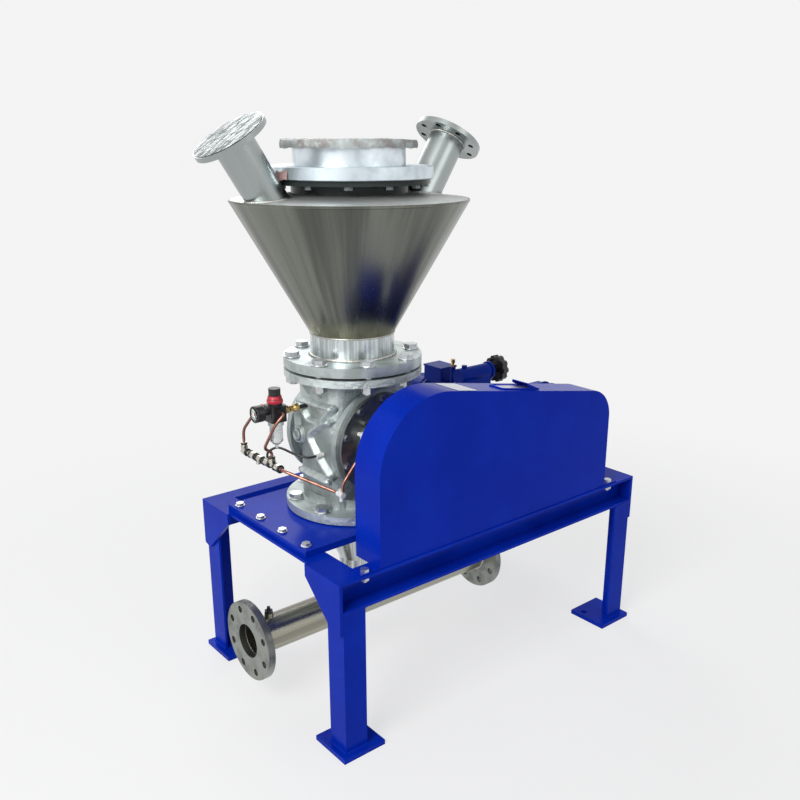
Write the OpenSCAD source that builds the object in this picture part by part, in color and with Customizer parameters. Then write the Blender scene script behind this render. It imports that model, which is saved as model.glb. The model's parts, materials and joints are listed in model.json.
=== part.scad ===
// Rotary airlock valve on its support frame, with inlet hopper, conveying pipe,
// roller chain drive, stepless geared motor and seal air set.
// Millimetres. +X from the valve end to the drive end, +Y away from the chain guard,
// +Z up. The origin is on the floor, at the centre of the four anchor holes.

/* [Frame] */
// Length of the frame over the legs
frame_len = 995; // [960:5:1100]
// Width of the frame over the long beams
frame_wid = 620; // [600:5:700]
// Height of the beam tops above the floor
frame_h = 440; // [400:5:560]
// Leg width of the corner angles
leg_w = 60; // [50:1:70]
// Thickness of the corner angles
leg_t = 6; // [4:0.5:8]
// Depth of the long channel beams
beam_h = 75; // [65:1:100]
// Flange width of the channel beams
beam_b = 45; // [40:1:50]
// Web thickness of the channel beams
beam_web = 5; // [4:0.5:7]
// Flange thickness of the channel beams
beam_fl = 7; // [5:0.5:9]
// Width of the flat bars across the frame
tie_w = 62; // [50:1:70]
// Thickness of the flat bars across the frame
tie_t = 6; // [5:0.5:7]
// Side of the square foot plates
foot_w = 115; // [105:1:140]
// Thickness of the foot plates
foot_t = 12; // [8:1:20]
// Foot plate margin outside the leg
foot_edge = 15; // [8:1:20]
// Radius of the anchor holes
anchor_r = 9; // [6:0.5:11]
// Anchor hole distance from the inner edge along X
anchor_in_x = 19; // [15:1:25]
// Anchor hole distance from the inner edge along Y
anchor_in_y = 32; // [20:1:40]
// Thickness of the corner gussets
gusset_t = 8; // [5:1:12]
// Width of the corner gussets at the top
gusset_w = 134; // [110:1:150]
// Height of the corner gussets
gusset_h = 131; // [110:1:150]
// Height of the gusset's straight inner edge
gusset_lip = 29; // [15:1:45]
// Width left at the gusset's lower end
gusset_tip = 25; // [15:1:40]

/* [Support plates] */
// Thickness of the two valve support plates
plate_t = 16; // [12:1:20]
// Length of the support plates
plate_len = 540; // [520:2:560]
// Width of each support plate
plate_w = 178; // [176:1:190]
// Distance of the plate bolts from the plate ends
plate_edge = 19; // [15:1:30]
// Distance of the inner plate bolts from the joint line
plate_bolt_in = 50; // [40:1:70]
// Distance of the outer plate bolts from the joint line
plate_bolt_out = 151; // [140:1:160]

/* [Valve] */
// Valve axis along X
valve_x = -218; // [-225:1:-200]
// Valve axis along Y
valve_y = 22; // [10:1:30]
// Height of the casting between its flange faces
valve_h = 356; // [340:2:380]
// Radius of the inlet flange
top_fl_r = 169; // [165:1:175]
// Thickness of the inlet flange
top_fl_t = 18; // [14:1:22]
// Bolt circle radius of the inlet flange
top_pcr = 149; // [147:0.5:152]
// Radius of the outlet flange
low_fl_r = 175; // [170:1:180]
// Thickness of the outlet flange
low_fl_t = 20; // [16:1:24]
// Bolt circle radius of the outlet flange
low_pcr = 153; // [150:0.5:158]
// Number of bolts in each valve flange
fl_bolts = 8; // [8:4:12]
// Rotor chamber radius
bore_r = 105; // [100:1:106]
// Wall of the rotor chamber
wall = 13; // [10:1:14]
// Length of the rotor chamber
body_len = 212; // [200:2:220]
// Radius of the chamber's end flanges
end_fl_r = 132; // [128:1:136]
// Thickness of the chamber's end flanges
end_fl_t = 16; // [12:1:20]
// Half width of the cast throats along X
throat_x = 116; // [110:1:118]
// Half width of the cast throats along Y
throat_y = 84; // [76:1:88]
// Half opening of the inlet and outlet ports along X
port_x = 74; // [60:1:80]
// Half opening of the inlet and outlet ports along Y
port_y = 72; // [60:1:74]
// Radius of the round port at each flange
port_r = 98; // [90:1:99]
// Radial clearance of the rotor tips and end clearance of the vanes
rotor_gap = 0.3; // [0.2:0.05:0.6]
// Number of rotor vanes
vanes = 8; // [6:1:12]
// Thickness of a rotor vane
vane_t = 6; // [4:0.5:8]
// Radius of the rotor core
core_r = 34; // [30:1:40]
// Radius of the rotor shaft
shaft_r = 17.5; // [15:0.5:20]
// Running clearance of a shaft in its bearing
run_gap = 0.05; // [0.03:0.01:0.09]
// Radius of an end cover
cover_r = 124; // [122:1:126]
// Plate thickness of an end cover
cover_t = 12; // [10:1:16]
// Radius of a cover's bearing hub
hub_r = 50; // [46:1:56]
// Projection of a cover's bearing hub
hub_len = 52; // [46:1:58]
// Outer radius of a shaft bearing
bearing_r = 31; // [29:0.5:36]
// Width of a shaft bearing
bearing_w = 17; // [14:1:20]
// Bolts in an end cover
cover_bolts = 10; // [8:1:12]
// Bolt circle radius of an end cover
cover_pcr = 113; // [111:0.5:114]

/* [Hopper] */
// Thickness of the gasket at the inlet flange
gasket_top = 6; // [2:0.5:8]
// Thickness of the gaskets at the outlet
gasket_low = 3; // [1.5:0.5:4]
// Thickness of the hopper's spigot flange
spig_fl_t = 23; // [16:1:26]
// Radius of the spigot
spig_r = 102; // [100:0.5:104]
// Length of the spigot above its flange
spig_len = 53; // [40:1:70]
// Height of the hopper cone
cone_h = 311; // [260:1:340]
// Radius of the cone at its rim
rim_r = 277; // [270:1:290]
// Sheet thickness of the hopper
sheet = 2.5; // [2:0.5:4]
// Rise of the shallow hopper cover
cover_rise = 13; // [8:1:18]
// Radius of the inlet neck
neck_r = 136; // [130:0.5:140]
// Height of the inlet neck above the cover's inner edge
neck_h = 35; // [30:1:45]
// Radius of the heavy inlet ring
ring_r = 194; // [190:1:198]
// Thickness of the heavy inlet ring
ring_t = 28; // [20:1:32]
// Radius of the neck flange under the ring
neck_fl_r = 186; // [184:0.5:189]
// Thickness of the neck flange under the ring
neck_fl_t = 12; // [8:1:14]
// Bolts in the inlet ring
ring_bolts = 12; // [8:1:16]
// Bolt circle radius of the inlet ring
ring_pcr = 172; // [170:0.5:174]
// Radius of the inlet collar
collar_r = 130; // [124:0.5:132]
// Height of the inlet collar
collar_h = 41; // [30:1:60]
// Radius of the inlet flange on the collar
inlet_r = 156; // [150:1:160]
// Thickness of the inlet flange on the collar
inlet_t = 6; // [5:0.5:10]
// Bolt circle radius of the inlet flange
inlet_pcr = 144; // [141:0.5:146]
// Tilt of the side nozzles from the vertical
noz_tilt = 33; // [28:0.5:36]
// Radius on the cover at which a nozzle stands
noz_at = 216; // [212:1:219]
// Radius of a nozzle tube
noz_r = 44.45; // [40:0.05:45]
// Wall of a nozzle tube
noz_wall = 2; // [1.5:0.5:3]
// Length of a nozzle from the rim plane to its face
noz_len = 168; // [150:1:200]
// Radius of a nozzle flange
noz_fl_r = 84; // [80:0.5:90]
// Thickness of a nozzle flange
noz_fl_t = 12; // [8:1:16]
// Bolt circle radius of a nozzle flange
noz_pcr = 68; // [64:0.5:70]

/* [Conveying pipe] */
// Height of the pipe's centre line
pipe_z = 168; // [150:1:190]
// Outer radius of the pipe
pipe_r = 44.45; // [42:0.05:45]
// Wall of the pipe
pipe_wall = 2; // [1.5:0.5:3]
// Face of the pipe's inlet flange along X
pipe_x0 = -551; // [-570:1:-540]
// Face of the pipe's outlet flange along X
pipe_x1 = 227; // [200:1:260]
// Radius of a pipe flange
pipe_fl_r = 100; // [95:0.5:105]
// Thickness of a pipe flange
pipe_fl_t = 18; // [14:1:22]
// Bore radius of a pipe flange
pipe_fl_bore = 43; // [42.9:0.05:44]
// Bolt circle radius of a pipe flange
pipe_pcr = 80; // [76:0.5:82]
// Bolt hole radius of the pipe and nozzle flanges
pipe_hole_r = 9; // [7:0.5:9.5]
// Thickness of the drop-out's flange
drop_fl_t = 16; // [12:1:20]
// Height of the drop-out's cone
drop_cone = 120; // [100:1:140]

/* [Chain drive] */
// Chain pitch
pitch = 19.05; // [15.875:0.005:19.05]
// Number of chain links, an even number
links = 88; // [86:2:90]
// Teeth of the rotor's sprocket
teeth_rotor = 48; // [36:12:48]
// Teeth of the driving sprocket
teeth_drive = 18; // [17:1:19]
// Roller radius
roller_r = 6.035; // [4.9:0.005:6.1]
// Width between the inner link plates
inner_w = 11.68; // [9.6:0.01:12]
// Thickness of a link plate
link_t = 1.8; // [1.4:0.1:2]
// Half height of a link plate
link_r = 8; // [6.5:0.1:8.5]
// Radius of a chain pin
pin_r = 2.86; // [2.4:0.01:3]
// Clearance between a roller and its tooth gap
tooth_gap = 0.3; // [0.1:0.05:0.4]
// Middle plane of the chain along Y
chain_y = -262; // [-266:1:-258]
// Outer depth of the chain guard
guard_d = 90; // [84:1:94]
// Sheet thickness of the chain guard
guard_t = 3; // [2:0.5:4]
// Clear distance from the rotor's pitch circle to the guard
guard_gap_big = 28; // [26:1:34]
// Clear distance from the driving pitch circle to the guard
guard_gap_small = 29; // [24:1:34]

/* [Drive] */
// Thickness of the drive's base plate
base_t = 12; // [8:1:16]
// Radius of the gear unit's output shaft
out_r = 19; // [15:0.5:22]
// Height of the output shaft over the motor's axis
drive_drop = 70; // [60:1:76]
// Radius of the variator's casing
vari_r = 86; // [80:1:88]
// Length of the variator's casing
vari_len = 210; // [200:1:220]
// Radius of the motor's frame
motor_r = 66; // [60:1:68]
// Length of the motor's frame
motor_len = 176; // [170:1:190]
// Height of the speed control's axis over the motor's axis
control_up = 117; // [114:1:120]
// Radius of the speed control's casing
control_r = 23; // [20:0.5:25]
// Radius of the handwheel
wheel_r = 40; // [34:0.5:44]
// Thickness of the handwheel's rim
wheel_t = 20; // [14:1:24]
// Number of scallops around the handwheel
scallops = 10; // [8:1:14]

/* [Seal air] */
// Distance of the regulator from the valve axis along X
air_x = 202; // [200:1:206]
// Distance of the regulator from the valve axis along Y
air_y = 40; // [36:1:46]
// Height of the regulator's middle above the shaft
air_z = 79; // [74:1:84]
// Radius of the copper tubes
tube_r = 3; // [2.5:0.1:4]

/* [Hidden] */
$fn = 48;

// Heights, built up from the floor
end_x = frame_len / 2;
side_y = frame_wid / 2;
plate_top = frame_h + plate_t;
low_face = plate_top + gasket_low;
shaft_z = low_face + valve_h / 2 + 3;
top_face = low_face + valve_h;
hop_z = top_face + gasket_top;
spig_z = hop_z + spig_fl_t;
cone_z = spig_z + spig_len;
rim_z = cone_z + cone_h;
neck_z = rim_z + cover_rise;
ring_z = neck_z + neck_h;
collar_z = ring_z + ring_t;
inlet_z = collar_z + collar_h;
bolt_gap = 1;
fl_hole_r = 11;
fl_bolt_d = 20;
plate_bolt_d = 12;
// Plate ends and their bolts
plate_bolt_x = plate_len / 2 - plate_edge;
// Chain geometry: pitch radii, wrap and the shaft distance that closes the chain
pr_big = pitch / 2 / sin(180 / teeth_rotor);
pr_small = pitch / 2 / sin(180 / teeth_drive);
function wrap_tilt(c) = asin((pr_big - pr_small) / c);
function chain_len(c) = teeth_rotor * (180 + 2 * wrap_tilt(c)) / 360
    + teeth_drive * (180 - 2 * wrap_tilt(c)) / 360 + 2 * c * cos(wrap_tilt(c)) / pitch;
function close_chain(lo, hi, n) = n == 0 ? (lo + hi) / 2
    : chain_len((lo + hi) / 2) > links ? close_chain(lo, (lo + hi) / 2, n - 1)
    : close_chain((lo + hi) / 2, hi, n - 1);
shaft_dist = close_chain(300, 900, 40);
drive_x = valve_x + shaft_dist;
motor_z = shaft_z - drive_drop;
// Chain guard
guard_y = chain_y - guard_d / 2 + 1;
guard_big = pr_big + guard_gap_big;
guard_small = pr_small + guard_gap_small;
guard_tab = 52;
tab_w = 40;

// A cylinder along Y, from y0 to y1, about the axis at x, z
module ycyl(x, z, y0, y1, r)
    translate([x, y0, z]) rotate([-90, 0, 0]) cylinder(h = y1 - y0, r = r);

// A cylinder along X, from x0 to x1, about the axis at y, z
module xcyl(y, z, x0, x1, r)
    translate([x0, y, z]) rotate([0, 90, 0]) cylinder(h = x1 - x0, r = r);

// A cylinder along Z, from z0 to z1
module zcyl(x, y, z0, z1, r)
    translate([x, y, z0]) cylinder(h = z1 - z0, r = r);

// A ring about Z
module zring(z0, z1, r_out, r_in)
    difference() {
        translate([0, 0, z0]) cylinder(h = z1 - z0, r = r_out, $fn = 96);
        translate([0, 0, z0 - 1]) cylinder(h = z1 - z0 + 2, r = r_in, $fn = 96);
    }

// Copies around Z at a radius
module around(n, r, from = 0)
    for (i = [0 : n - 1])
        rotate([0, 0, from + i * 360 / n]) translate([r, 0, 0]) children();

// A rounded rectangle, w by h, corner radius r
module round_rect(w, h, r) {
    square([w - 2 * r, h], center = true);
    square([w, h - 2 * r], center = true);
    for (sx = [-1, 1], sy = [-1, 1])
        translate([sx * (w / 2 - r), sy * (h / 2 - r)]) circle(r);
}

// A hexagon bolt of size d: head above z = 0, shank below it, nut under the grip
module hex_bolt(d, grip, tail = 4) {
    cylinder(h = 0.65 * d, r = 0.87 * d, $fn = 6);
    translate([0, 0, -grip - 0.8 * d - tail])
        cylinder(h = grip + 0.8 * d + tail, r = d / 2, $fn = 24);
    translate([0, 0, -grip - 0.8 * d]) cylinder(h = 0.8 * d, r = 0.87 * d, $fn = 6);
}

// A short hexagon bolt of size d screwed in from z = 0 downwards
module hex_screw(d, len) {
    cylinder(h = 0.65 * d, r = 0.87 * d, $fn = 6);
    translate([0, 0, -len]) cylinder(h = len, r = d / 2, $fn = 24);
}

// A raised rib of width w through the points, h high, drawn on the XY plane
module rib_path(points, w, h) {
    closed = points[0] == points[len(points) - 1];
    for (i = [closed ? 1 : 0 : len(points) - 1])
        translate(points[i]) cylinder(h = h + 0.6, r = w / 2 + 1, $fn = 24);
    for (i = [0 : len(points) - 2]) {
        d = points[i + 1] - points[i];
        translate(points[i]) rotate([0, 0, atan2(d[1], d[0])])
            translate([0, -w / 2, 0.4 * (i % 2)]) cube([norm(d), w, h - 0.7 * (i % 2)]);
    }
}

// A straight round rod between two points
module rod(a, b, r) {
    d = b - a;
    translate(a) rotate([0, acos(d[2] / norm(d)), atan2(d[1], d[0])])
        cylinder(h = norm(d), r = r, $fn = 24);
}

// A round rod through the points, with a slightly swollen ball at each corner
module bent_rod(p, r) {
    for (i = [0 : len(p) - 2]) rod(p[i], p[i + 1], r);
    for (i = [1 : len(p) - 2]) translate(p[i]) sphere(r = 1.3 * r, $fn = 24);
}

// ---------------------------------------------------------------- frame

// Long channel beam with its open side outwards; side is -1 at the front, 1 at the back
module beam(side)
    difference() {
        scale([1, -side, 1]) translate([-end_x, -side_y, frame_h - beam_h])
            difference() {
                cube([frame_len, beam_b, beam_h]);
                translate([-1, -1, beam_fl])
                    cube([frame_len + 2, beam_b - beam_web + 1, beam_h - 2 * beam_fl]);
            }
        if (side < 0) guard_bolt_places() translate([0, 0, -beam_fl - 1])
            cylinder(h = beam_fl + 2, r = 6.5, $fn = 24);
    }

module front_beam() color("royalblue") beam(-1);
module back_beam() color("royalblue") beam(1);

// Flat bars across the frame, under the plate ends, under the drive and at the right end
tie_len = frame_wid - 2 * beam_b;
drive_tie = 96;
module cross_ties()
    color("royalblue") difference() {
        for (x = [-end_x, valve_x + plate_bolt_x - tie_w / 2, drive_x - drive_tie - tie_w / 2,
                drive_x + drive_tie - tie_w / 2, end_x - tie_w])
            translate([x, -tie_len / 2, frame_h - tie_t]) cube([tie_w, tie_len, tie_t]);
        plate_bolt_places() translate([0, 0, -plate_t - tie_t - 1])
            cylinder(h = tie_t + 2, r = plate_bolt_d / 2 + bolt_gap, $fn = 24);
        base_bolt_places() translate([0, 0, -base_t - tie_t - 1])
            cylinder(h = tie_t + 2, r = plate_bolt_d / 2 + bolt_gap, $fn = 24);
    }

// Corner leg: an angle with its heel outwards
module leg(sx, sy)
    color("royalblue") scale([-sx, -sy, 1]) translate([-end_x, -side_y, foot_t])
        difference() {
            cube([leg_w, leg_w, frame_h - beam_h - foot_t]);
            translate([leg_t, leg_t, -1]) cube([leg_w, leg_w, frame_h]);
        }

module leg_front_left() leg(-1, -1);
module leg_front_right() leg(1, -1);
module leg_back_left() leg(-1, 1);
module leg_back_right() leg(1, 1);

// Four square plates on the floor, each with one anchor hole on its inner side
module foot_plates()
    color("royalblue") for (sx = [-1, 1], sy = [-1, 1]) scale([-sx, -sy, 1])
        translate([-end_x - foot_edge, -side_y - foot_edge, 0]) difference() {
            cube([foot_w, foot_w, foot_t]);
            translate([foot_w - anchor_in_x, foot_w - anchor_in_y, -1])
                cylinder(h = foot_t + 2, r = anchor_r);
        }

// Welded plates over the frame's end corners, cut away to the leg
module corner_gussets()
    color("royalblue") for (sx = [-1, 1], sy = [-1, 1])
        scale([-sx, -sy, 1]) translate([-end_x, -side_y, frame_h]) rotate([90, 0, -90])
            linear_extrude(gusset_t) polygon([[0, 0], [-gusset_w, 0],
                [-gusset_w, -gusset_lip], [-gusset_tip, -gusset_h], [0, 7 - gusset_h]]);

// Places of the bolts that hold the support plates, on the plates' top
module plate_bolt_places()
    for (sx = [-1, 1], y = [-plate_bolt_out, -plate_bolt_in, plate_bolt_in, plate_bolt_out])
        translate([valve_x + sx * plate_bolt_x, valve_y + y, plate_top]) children();

// Support plate on one side of the valve's axis, with a half round outlet cut
module support_plate(side)
    color("royalblue") difference() {
        translate([valve_x - plate_len / 2, valve_y + (side < 0 ? -plate_w : 0), frame_h])
            cube([plate_len, plate_w, plate_t]);
        zcyl(valve_x, valve_y, frame_h - 1, plate_top + 1, port_r, $fn = 96);
        translate([valve_x, valve_y, frame_h - 1]) around(fl_bolts, low_pcr, 180 / fl_bolts)
            cylinder(h = plate_t + 2, r = fl_hole_r, $fn = 24);
        plate_bolt_places() translate([0, 0, -plate_t - 1])
            cylinder(h = plate_t + 2, r = plate_bolt_d / 2 + bolt_gap, $fn = 24);
    }

module support_plate_front() support_plate(-1);
module support_plate_back() support_plate(1);

// Hexagon bolts of the support plates, the chain guard and the drive base
module frame_bolts()
    color("lightsteelblue") {
        plate_bolt_places() hex_bolt(plate_bolt_d, plate_t + tie_t);
        guard_bolt_places() translate([0, 0, guard_t]) hex_bolt(plate_bolt_d, guard_t + beam_fl);
        base_bolt_places() hex_bolt(plate_bolt_d, base_t + tie_t);
    }

// ---------------------------------------------------------------- valve

module at_valve() translate([valve_x, valve_y, 0]) children();

front_y = -body_len / 2;
rear_y = body_len / 2;

// Ribs and bosses cast on a side face, seen from outside as Y, Z about the valve axis
module side_casting() {
    rib_path([[66, 92], [-74, 98], [-22, 48], [24, 50], [66, 92]], 8, 33);
    rib_path([[76, 74], [72, 24], [70, 2]], 9, 33);
    translate([68, 2]) cylinder(h = 37, r = 15);
    rib_path([[-68, 64], [-40, 56], [24, 10], [-20, -40], [-70, -76]], 11, 34);
    rib_path([[-56, -92], [66, -92]], 12, 32);
}

// Cast housing: rotor chamber, throats, four flanges, side ribs and ports
module valve_housing()
    color("silver") at_valve() difference() {
        union() {
            ycyl(0, shaft_z, front_y, rear_y, bore_r + wall, $fn = 96);
            ycyl(0, shaft_z, front_y, front_y + end_fl_t, end_fl_r, $fn = 96);
            ycyl(0, shaft_z, rear_y - end_fl_t, rear_y, end_fl_r, $fn = 96);
            translate([0, 0, low_face]) linear_extrude(valve_h)
                round_rect(2 * throat_x, 2 * throat_y, 30);
            zcyl(0, 0, low_face, low_face + low_fl_t, low_fl_r, $fn = 96);
            zcyl(0, 0, low_face, low_face + low_fl_t + 24, port_r + 24, $fn = 96);
            zcyl(0, 0, top_face - top_fl_t, top_face, top_fl_r, $fn = 96);
            zcyl(0, 0, top_face - top_fl_t - 10, top_face, port_r + 20, $fn = 96);
            // triangular webs under the inlet flange
            for (sx = [-1, 1], y = [-26, 26]) scale([sx, 1, 1])
                translate([throat_x - 12, y + 4, top_face - top_fl_t - 46]) rotate([90, 0, 0])
                    linear_extrude(8) polygon([[0, 0], [12, 0], [44, 46], [0, 46]]);
            for (sx = [-1, 1]) scale([sx, 1, 1]) translate([-throat_x + 26, 0, shaft_z])
                rotate([90, 0, -90]) scale([-1, 1, 1]) side_casting();
        }
        ycyl(0, shaft_z, front_y - 1, rear_y + 1, bore_r, $fn = 96);
        translate([0, 0, low_face - 1]) linear_extrude(valve_h + 2)
            square([2 * port_x, 2 * port_y], center = true);
        zcyl(0, 0, low_face - 1, low_face + low_fl_t, port_r, $fn = 96);
        zcyl(0, 0, top_face - top_fl_t, top_face + 1, port_r, $fn = 96);
        translate([0, 0, low_face - 1]) around(fl_bolts, low_pcr, 180 / fl_bolts)
            cylinder(h = low_fl_t + 2, r = fl_hole_r, $fn = 24);
        translate([0, 0, low_face + low_fl_t]) around(fl_bolts, low_pcr, 180 / fl_bolts)
            cylinder(h = 26, r = 19.5, $fn = 24);
        translate([0, 0, top_face - top_fl_t - 1]) around(fl_bolts, top_pcr, 180 / fl_bolts)
            cylinder(h = top_fl_t + 2, r = fl_hole_r, $fn = 24);
        translate([0, 0, top_face - top_fl_t - 26]) around(fl_bolts, top_pcr, 180 / fl_bolts)
            cylinder(h = 26, r = 19.5, $fn = 24);
        for (s = [-1, 1]) translate([0, s * (rear_y + 0.1), shaft_z]) rotate([s * 90, 0, 0])
            around(cover_bolts, cover_pcr, 180 / cover_bolts) cylinder(h = 14, r = 5.1, $fn = 24);
    }

// End cover at y = 0, hub towards +Z: plate, ribs, bearing seat and gland bore
module end_cover(closed)
    difference() {
        union() {
            cylinder(h = cover_t, r = cover_r, $fn = 96);
            cylinder(h = hub_len, r = hub_r);
            cylinder(h = cover_t + 8, r = hub_r + 22);
            for (i = [0 : 4]) rotate([0, 0, 62 + i * 72]) translate([0, -4, 0])
                rotate([90, 0, 90]) translate([0, 0, hub_r - 4]) linear_extrude(46)
                    polygon([[0, 0], [8, 0], [8, cover_t + 14], [0, cover_t + 14]]);
            if (closed) cylinder(h = hub_len + 6, r = hub_r - 8);
        }
        difference() {
            translate([0, 0, cover_t]) cylinder(h = 30, r = cover_pcr - 9, $fn = 96);
            cylinder(h = cover_t + 30, r = hub_r + 42, $fn = 96);
        }
        translate([0, 0, -1]) cylinder(h = closed ? hub_len + 2 : hub_len + 9, r = shaft_r + 1);
        translate([0, 0, hub_len - bearing_w - 1])
            cylinder(h = closed ? bearing_w + 1 : bearing_w + 9, r = bearing_r);
        translate([0, 0, -1]) around(cover_bolts, cover_pcr, 180 / cover_bolts)
            cylinder(h = cover_t + 2, r = 5.5, $fn = 24);
    }

// Puts a cover's own frame on the front or the rear of the chamber
module on_front() at_valve() translate([0, front_y, shaft_z]) rotate([90, 0, 0]) children();
module on_rear() at_valve() translate([0, rear_y, shaft_z]) rotate([-90, 0, 0]) children();

module end_cover_front() color("dimgray") on_front() end_cover(false);
module end_cover_rear() color("dimgray") on_rear() end_cover(true);

// Screws of both end covers
module cover_bolts_set()
    color("lightsteelblue") {
        on_front() translate([0, 0, cover_t]) around(cover_bolts, cover_pcr, 180 / cover_bolts) hex_screw(10, 22);
        on_rear() translate([0, 0, cover_t]) around(cover_bolts, cover_pcr, 180 / cover_bolts) hex_screw(10, 22);
    }

// A ball bearing as one ring on the shaft, in the cover's seat
module bearing_ring()
    translate([0, 0, hub_len - bearing_w - 1]) difference() {
        cylinder(h = bearing_w, r = bearing_r - 0.02);
        translate([0, 0, -1]) cylinder(h = bearing_w + 2, r = shaft_r + run_gap);
        for (z = [-1, bearing_w - 1.5]) translate([0, 0, z]) difference() {
            cylinder(h = 2.5, r = bearing_r - 5);
            translate([0, 0, -1]) cylinder(h = 5, r = shaft_r + 4.5);
        }
    }

module shaft_bearings()
    color("gainsboro") {
        on_front() bearing_ring();
        on_rear() bearing_ring();
    }

// Welded rotor: core tube, straight vanes and the shaft through both covers
vane_len = body_len - 2 * rotor_gap;
module rotor()
    color("gray") at_valve() {
        ycyl(0, shaft_z, front_y + rotor_gap, rear_y - rotor_gap, core_r);
        ycyl(0, shaft_z, chain_y - valve_y - 14, rear_y + hub_len - 1.3, shaft_r);
        difference() {
            for (i = [0 : vanes - 1]) translate([0, front_y + rotor_gap, shaft_z])
                rotate([0, i * 360 / vanes, 0])
                    translate([-vane_t / 2, 0, core_r - 2]) cube([vane_t, vane_len, bore_r]);
            translate([0, front_y - 1, shaft_z]) rotate([-90, 0, 0]) difference() {
                cylinder(h = body_len + 2, r = 2 * bore_r);
                translate([0, 0, -1])
                    cylinder(h = body_len + 4, r = bore_r - rotor_gap, $fn = 96);
            }
        }
    }

// ---------------------------------------------------------------- flange joints

// Flat ring gaskets: hopper to valve, valve to plates, plates to drop-out
module flange_gaskets()
    color("black") at_valve() {
        zring(top_face, hop_z, top_pcr - 13, port_r + 2);
        zring(plate_top, low_face, low_pcr - 12.5, port_r + 2);
        zring(frame_h - gasket_low, frame_h, low_pcr - 12.5, port_r + 2);
    }

module inlet_bolts()
    color("lightsteelblue") at_valve() translate([0, 0, spig_z])
        around(fl_bolts, top_pcr, 180 / fl_bolts)
            hex_bolt(fl_bolt_d, spig_z - top_face + top_fl_t);

module outlet_bolts()
    color("lightsteelblue") at_valve() translate([0, 0, low_face + low_fl_t])
        around(fl_bolts, low_pcr, 180 / fl_bolts)
            hex_bolt(fl_bolt_d, low_face + low_fl_t - frame_h + gasket_low + drop_fl_t);

// ---------------------------------------------------------------- drop-out and pipe

drop_z = frame_h - gasket_low - drop_fl_t;
// Flanged cone from the valve's outlet down to a branch on the conveying pipe
module drop_out()
    color("silver") difference() {
        at_valve() rotate_extrude($fn = 96) polygon([
            [pipe_r - pipe_wall, pipe_z], [pipe_r, pipe_z], [pipe_r, drop_z - drop_cone],
            [port_r + sheet, drop_z], [low_fl_r - 5, drop_z], [low_fl_r - 5, drop_z + drop_fl_t],
            [port_r, drop_z + drop_fl_t], [port_r, drop_z],
            [pipe_r - pipe_wall, drop_z - drop_cone]]);
        at_valve() xcyl(0, pipe_z, -100, 100, pipe_r, $fn = 96);
        at_valve() translate([0, 0, drop_z - 1]) around(fl_bolts, low_pcr, 180 / fl_bolts)
            cylinder(h = drop_fl_t + 2, r = fl_hole_r, $fn = 24);
    }

plug_x = 62;
// Straight thin-walled pipe with the branch opening and a threaded purge socket
module conveying_pipe()
    color("silver") difference() {
        union() {
            xcyl(valve_y, pipe_z, pipe_x0 + pipe_fl_t, pipe_x1 - pipe_fl_t, pipe_r, $fn = 96);
            zcyl(pipe_x0 + plug_x, valve_y, pipe_z + 30, pipe_z + pipe_r + 12, 11);
        }
        xcyl(valve_y, pipe_z, pipe_x0 - 1, pipe_x1 + 1, pipe_r - pipe_wall, $fn = 96);
        zcyl(valve_x, valve_y, pipe_z, pipe_z + 100, pipe_r - pipe_wall, $fn = 96);
        zcyl(pipe_x0 + plug_x, valve_y, pipe_z, pipe_z + 100, 7);
    }

// A drilled pipe flange from z = 0 to t
module drilled_flange(r, t, bore, pcr, n, hole)
    difference() {
        cylinder(h = t, r = r, $fn = 96);
        translate([0, 0, -1]) cylinder(h = t + 2, r = bore, $fn = 96);
        translate([0, 0, -1]) around(n, pcr, 180 / n) cylinder(h = t + 2, r = hole, $fn = 24);
    }

module pipe_flanges()
    color("lightgray") for (x = [pipe_x0, pipe_x1 - pipe_fl_t])
        translate([x, valve_y, pipe_z]) rotate([0, 90, 0])
            drilled_flange(pipe_fl_r, pipe_fl_t, pipe_fl_bore, pipe_pcr, 8, pipe_hole_r);

// Black plug in the purge socket
module purge_plug()
    color("black") translate([pipe_x0 + plug_x, valve_y, pipe_z + pipe_r + 12]) {
        translate([0, 0, -12]) cylinder(h = 12, r = 6.9);
        cylinder(h = 6, r = 11, $fn = 6);
        cylinder(h = 16, r = 5, $fn = 4);
    }

// ---------------------------------------------------------------- hopper

module spigot_flange()
    color("silver") at_valve() translate([0, 0, hop_z])
        drilled_flange(top_fl_r, spig_fl_t, spig_r - sheet, top_pcr, fl_bolts, fl_hole_r);

// Spun cone with its spigot and the turned rim
module hopper_shell()
    color("silver") at_valve() rotate_extrude($fn = 96) polygon([
        [spig_r - sheet, spig_z], [spig_r + 4, spig_z], [spig_r, spig_z + 4], [spig_r, cone_z],
        [rim_r, rim_z - 4], [rim_r + 1.5, rim_z - 3], [rim_r + 1.5, rim_z + 2.5],
        [rim_r - 3, rim_z + 2.5], [rim_r - 3, rim_z - 2 - sheet], [spig_r - sheet, cone_z]]);

// Axis frame of a side nozzle: origin on its axis at the rim plane, +Z outwards
module at_nozzle(side)
    at_valve() translate([side * noz_at, 0, rim_z]) rotate([0, side * noz_tilt, 0]) children();

// Shallow conical cover with the neck hole and two inclined nozzle holes
module hopper_cover()
    color("silver") difference() {
        at_valve() rotate_extrude($fn = 96) polygon([
            [neck_r + 0.1, neck_z], [neck_r + 0.1, neck_z + sheet],
            [rim_r - 3.2, rim_z + sheet], [rim_r - 3.2, rim_z]]);
        for (side = [-1, 1]) at_nozzle(side)
            translate([0, 0, -80]) cylinder(h = 160, r = noz_r + 0.1, $fn = 96);
    }

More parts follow.
